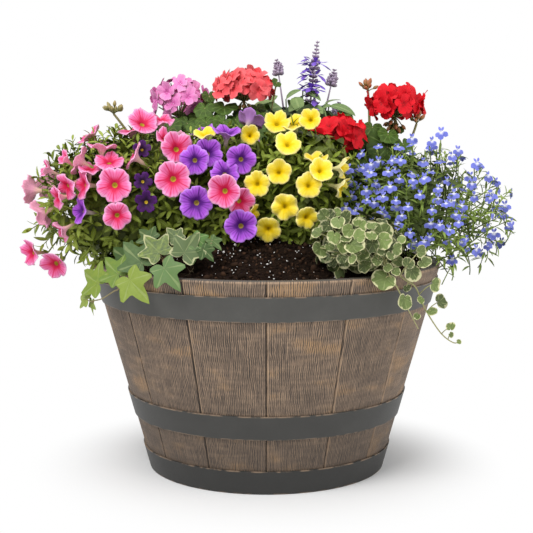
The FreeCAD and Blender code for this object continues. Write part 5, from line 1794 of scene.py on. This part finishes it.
def grow_creeper(trail):
    """Creeper: a loose cushion of small round leaves with cream margins, and two trails over the rim."""
    rng = np.random.default_rng(SEEDS["creeper"])
    leaf = edged_finish("creeper_leaf", trail.creeper, trail.cream, margin=0.84)
    node = "creeper_foliage"
    middle = middle_of(node)
    start = np.array((middle[0] + 0.028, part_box(node)[0][1] + 0.03, middle[2] - 0.012))
    stems = Skin()
    vines = vines_along(stems, start, CREEPER_TRAILS, thick=0.0014, thin=0.0007, tint=0.5)
    shown = pixel_of(vines)[0]
    tree = tree_of(node)
    cushion = Skin()
    trails = Skin()
    tip_pixels = 8
    widths_per_length = 1.45
    for across, down, pixels, tip in CREEPER_LEAVES:
        pixel = np.array((across, down))
        found = tree.ray_cast(Vector(CAMERA_PLACE), Vector(sight(pixel)))[0]
        trailing = found is None
        near = vines[np.linalg.norm(shown - pixel, axis=1).argmin()]
        centre = on_plane(pixel, near, VIEWER) if trailing else np.array(found)
        centre = centre - sight(pixel) * rng.uniform(0.0, 0.012)
        facing = heading(rng.uniform(-42, 42), rng.uniform(-8, 52))
        turn = math.radians(tip)
        aim = on_plane(pixel + tip_pixels * np.array((math.sin(turn), math.cos(turn))), centre, facing)
        way = unit(aim - centre)
        radius = lengths_of(pixels, centre) / widths_per_length
        base = centre - way * radius * 0.3
        skin = trails if trailing else cushion
        tint = rng.random(1)
        round_blades(skin, base[None], way[None], facing[None], radius, tint, CREEPER_OUTLINE, cup=-0.1,
                     ripple=0.08, spokes=28)
        root = near if trailing else base + (start - base) * rng.uniform(0.35, 0.6) - UP * 0.012
        stalks(stems, root[None], base[None], bow=UP * 0.004, radius=0.0007, tint=tint, steps=6)
    points, normals = spread_points(node, count=700, gap=0.0135, rng=rng)
    count = len(points)
    face = unit(normals + UP * 0.5 + rng.normal(0, 0.3, normals.shape))
    way = unit(np.cross(np.cross(face, rng.normal(size=(count, 3))), face))
    radius = trail.creeper_leaf * rng.uniform(0.45, 0.8, count)
    deep = np.where(normals[:, 1:2] < 0.1, 0.014, 0.004) * rng.uniform(0.6, 1.5, (count, 1))
    base = points - normals * deep - way * (radius * 0.4)[:, None]
    # Cushion leaves lie deeper and get only the lower, darker tints: painted shade.
    tint = rng.uniform(0.0, 0.55, count)
    round_blades(cushion, base, way, face, radius, tint, CREEPER_OUTLINE, cup=-0.1, ripple=0.06, spokes=22)
    foot = base - normals * 0.02 - UP * 0.012
    stalks(stems, foot, base, bow=UP * 0.003, radius=0.0007, tint=rng.random(count), sides=4)
    cushion.build("creeper_cushion", "creeper", leaf, "creeper_leaf", node)
    pale = stem_finish("creeper_vine", (0.25, 0.25, 0.09), (0.46, 0.44, 0.2))
    stems.build("creeper_vines", "creeper", pale, "vine_stem", "creeper_stems")
    trails.build("creeper_blades", "creeper", leaf, "creeper_leaf", "creeper_leaves")


def set_floor(stage):
    """A wide pale floor that keeps the tub's shadow near it and runs out into plain white."""
    half = stage.floor / 2
    corners = ((-half, -half, 0.0), (half, -half, 0.0), (half, half, 0.0), (-half, half, 0.0))
    mesh = bpy.data.meshes.new("floor")
    mesh.from_pydata(corners, (), ((0, 1, 2, 3),))
    finish = Finish("floor", roughness=0.9)
    reach = finish.node("ShaderNodeVectorMath", {"operation": "LENGTH"}, {0: finish.place()}, "Value")
    white = finish.node("ShaderNodeEmission", None, {"Color": WHITE})
    shader = Term(finish, finish.shader.outputs[0])
    finish.surface("Material Output", finish.seen() * reach.ease(0.18, 0.37), shader, white)
    mesh.materials.append(finish.done((0.86, 0.86, 0.86)))
    put_in_scene("floor", mesh)


def set_sky(stage):
    """Even light from all round, white where the camera sees it straight or by a mirror image."""
    world = bpy.data.worlds.new("studio")
    bpy.context.scene.world = world
    nodes = Nodes(world)
    light = nodes.node("ShaderNodeBackground", None, {"Color": WHITE, "Strength": stage.sky})
    white = nodes.node("ShaderNodeBackground", None, {"Color": WHITE})
    nodes.surface("World Output", nodes.seen(), light, white)


def add_lamp(name, power, size, place, aim):
    """A soft square lamp at a place, turned to its aim."""
    data = bpy.data.lights.new(name, "AREA")
    data.energy = power
    data.size = size
    lamp = put_in_scene(name, data)
    lamp.location = place
    lamp.rotation_euler = (Vector(aim) - Vector(place)).to_track_quat("-Z", "Y").to_euler()


def set_camera():
    """The photograph's camera."""
    data = bpy.data.cameras.new("camera")
    data.sensor_width = SENSOR_WIDTH
    data.lens = SENSOR_WIDTH * FOCAL_PIXELS / FRAME_PIXELS
    camera = put_in_scene("camera", data)
    camera.location = CAMERA_PLACE
    camera.rotation_euler = (math.pi / 2 - CAMERA_PITCH, 0.0, 0.0)
    bpy.context.scene.camera = camera


# Operators


class PLANTER_OT_finish_tub(bpy.types.Operator):
    """Give the staves, hoops, rivets and head their finishes"""

    bl_idname = "planter.finish_tub"
    bl_label = "Finish Tub"

    def execute(self, context):
        tub = context.scene.planter.tub
        dress(STAVES, stave_finish(tub))
        # Each hoop's paint carries its painted shade, darker towards the floor.
        for node in HOOP_PAINTED_SHADES:
            dress((node,), hoop_finish(tub, node, HOOP_PAINTED_SHADES[node]))
        dress(("hoop_rivets",), hoop_finish(tub, "hoop_rivets", tone=0.9))
        boards = [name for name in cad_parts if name.startswith("head_")]
        dress(boards, board_finish(tub))
        return {"FINISHED"}


class PLANTER_OT_lay_mix(bpy.types.Operator):
    """Lay the potting mix with its crumbs and perlite, and finish the root balls"""

    bl_idname = "planter.lay_mix"
    bl_label = "Lay Potting Mix"

    def execute(self, context):
        mix = context.scene.planter.mix
        lay_mix(mix)
        dress(ROOTS, earth_finish("root_ball", shade(mix.earth, 2.1), grit=320.0, threads=0.4))
        return {"FINISHED"}


class PLANTER_OT_grow_petunias(bpy.types.Operator):
    """Grow the pink, violet and yellow petunias"""

    bl_idname = "planter.grow_petunias"
    bl_label = "Grow Petunias"

    def execute(self, context):
        grow_petunias(context.scene.planter.petunia)
        return {"FINISHED"}


class PLANTER_OT_grow_lobelia(bpy.types.Operator):
    """Grow the lobelia"""

    bl_idname = "planter.grow_lobelia"
    bl_label = "Grow Lobelia"

    def execute(self, context):
        grow_lobelia(context.scene.planter.lobelia)
        return {"FINISHED"}


class PLANTER_OT_grow_geraniums(bpy.types.Operator):
    """Grow the orchid-pink, coral and red geraniums"""

    bl_idname = "planter.grow_geraniums"
    bl_label = "Grow Geraniums"

    def execute(self, context):
        geranium = context.scene.planter.geranium
        for name, colours in GERANIUM_PETALS.items():
            grow_geranium(name, geranium, **colours)
        return {"FINISHED"}


class PLANTER_OT_grow_salvia(bpy.types.Operator):
    """Grow the salvia"""

    bl_idname = "planter.grow_salvia"
    bl_label = "Grow Salvia"

    def execute(self, context):
        grow_salvia(context.scene.planter.salvia)
        return {"FINISHED"}


class PLANTER_OT_grow_trails(bpy.types.Operator):
    """Grow the ivy and the creeper over the rim"""

    bl_idname = "planter.grow_trails"
    bl_label = "Grow Ivy and Creeper"

    def execute(self, context):
        trail = context.scene.planter.trail
        grow_ivy(trail)
        grow_creeper(trail)
        return {"FINISHED"}


class PLANTER_OT_set_stage(bpy.types.Operator):
    """Set the floor, the light and the camera"""

    bl_idname = "planter.set_stage"
    bl_label = "Set Stage"

    def execute(self, context):
        stage = context.scene.planter.stage
        context.scene.view_settings.view_transform = "Standard"
        set_floor(stage)
        set_sky(stage)
        add_lamp("key_lamp", stage.key, size=1.6, place=(-1.0, -1.6, 2.4), aim=(0.0, 0.0, 0.35))
        add_lamp("fill_lamp", stage.fill, size=2.0, place=(1.9, -1.2, 1.3), aim=(0.0, 0.0, 0.3))
        set_camera()
        return {"FINISHED"}


OPERATORS = (
    PLANTER_OT_finish_tub,
    PLANTER_OT_lay_mix,
    PLANTER_OT_grow_petunias,
    PLANTER_OT_grow_lobelia,
    PLANTER_OT_grow_geraniums,
    PLANTER_OT_grow_salvia,
    PLANTER_OT_grow_trails,
    PLANTER_OT_set_stage,
)


class PLANTER_PT_panel(bpy.types.Panel):
    """The planter's steps in order"""

    bl_label = "Barrel Planter"
    bl_idname = "PLANTER_PT_panel"
    bl_space_type = "VIEW_3D"
    bl_region_type = "UI"
    bl_category = "Planter"

    def draw(self, context):
        for operator in OPERATORS:
            self.layout.operator(operator.bl_idname)


GROUPS = (
    TubSettings,
    MixSettings,
    PetuniaSettings,
    LobeliaSettings,
    GeraniumSettings,
    SalviaSettings,
    TrailSettings,
    StageSettings,
    PlanterSettings,
)


def register():
    """Register the settings, the operators and the panel."""
    for group in GROUPS + OPERATORS + (PLANTER_PT_panel,):
        bpy.utils.register_class(group)
    bpy.types.Scene.planter = PointerProperty(type=PlanterSettings)


def unregister():
    """Remove what register added."""
    del bpy.types.Scene.planter
    for group in reversed(GROUPS + OPERATORS + (PLANTER_PT_panel,)):
        bpy.utils.unregister_class(group)


def main():
    """Dress the frame in order."""
    register()
    bpy.ops.planter.finish_tub()
    bpy.ops.planter.lay_mix()
    bpy.ops.planter.grow_petunias()
    bpy.ops.planter.grow_lobelia()
    bpy.ops.planter.grow_geraniums()
    bpy.ops.planter.grow_salvia()
    bpy.ops.planter.grow_trails()
    bpy.ops.planter.set_stage()


if __name__ == "__main__":
    main()
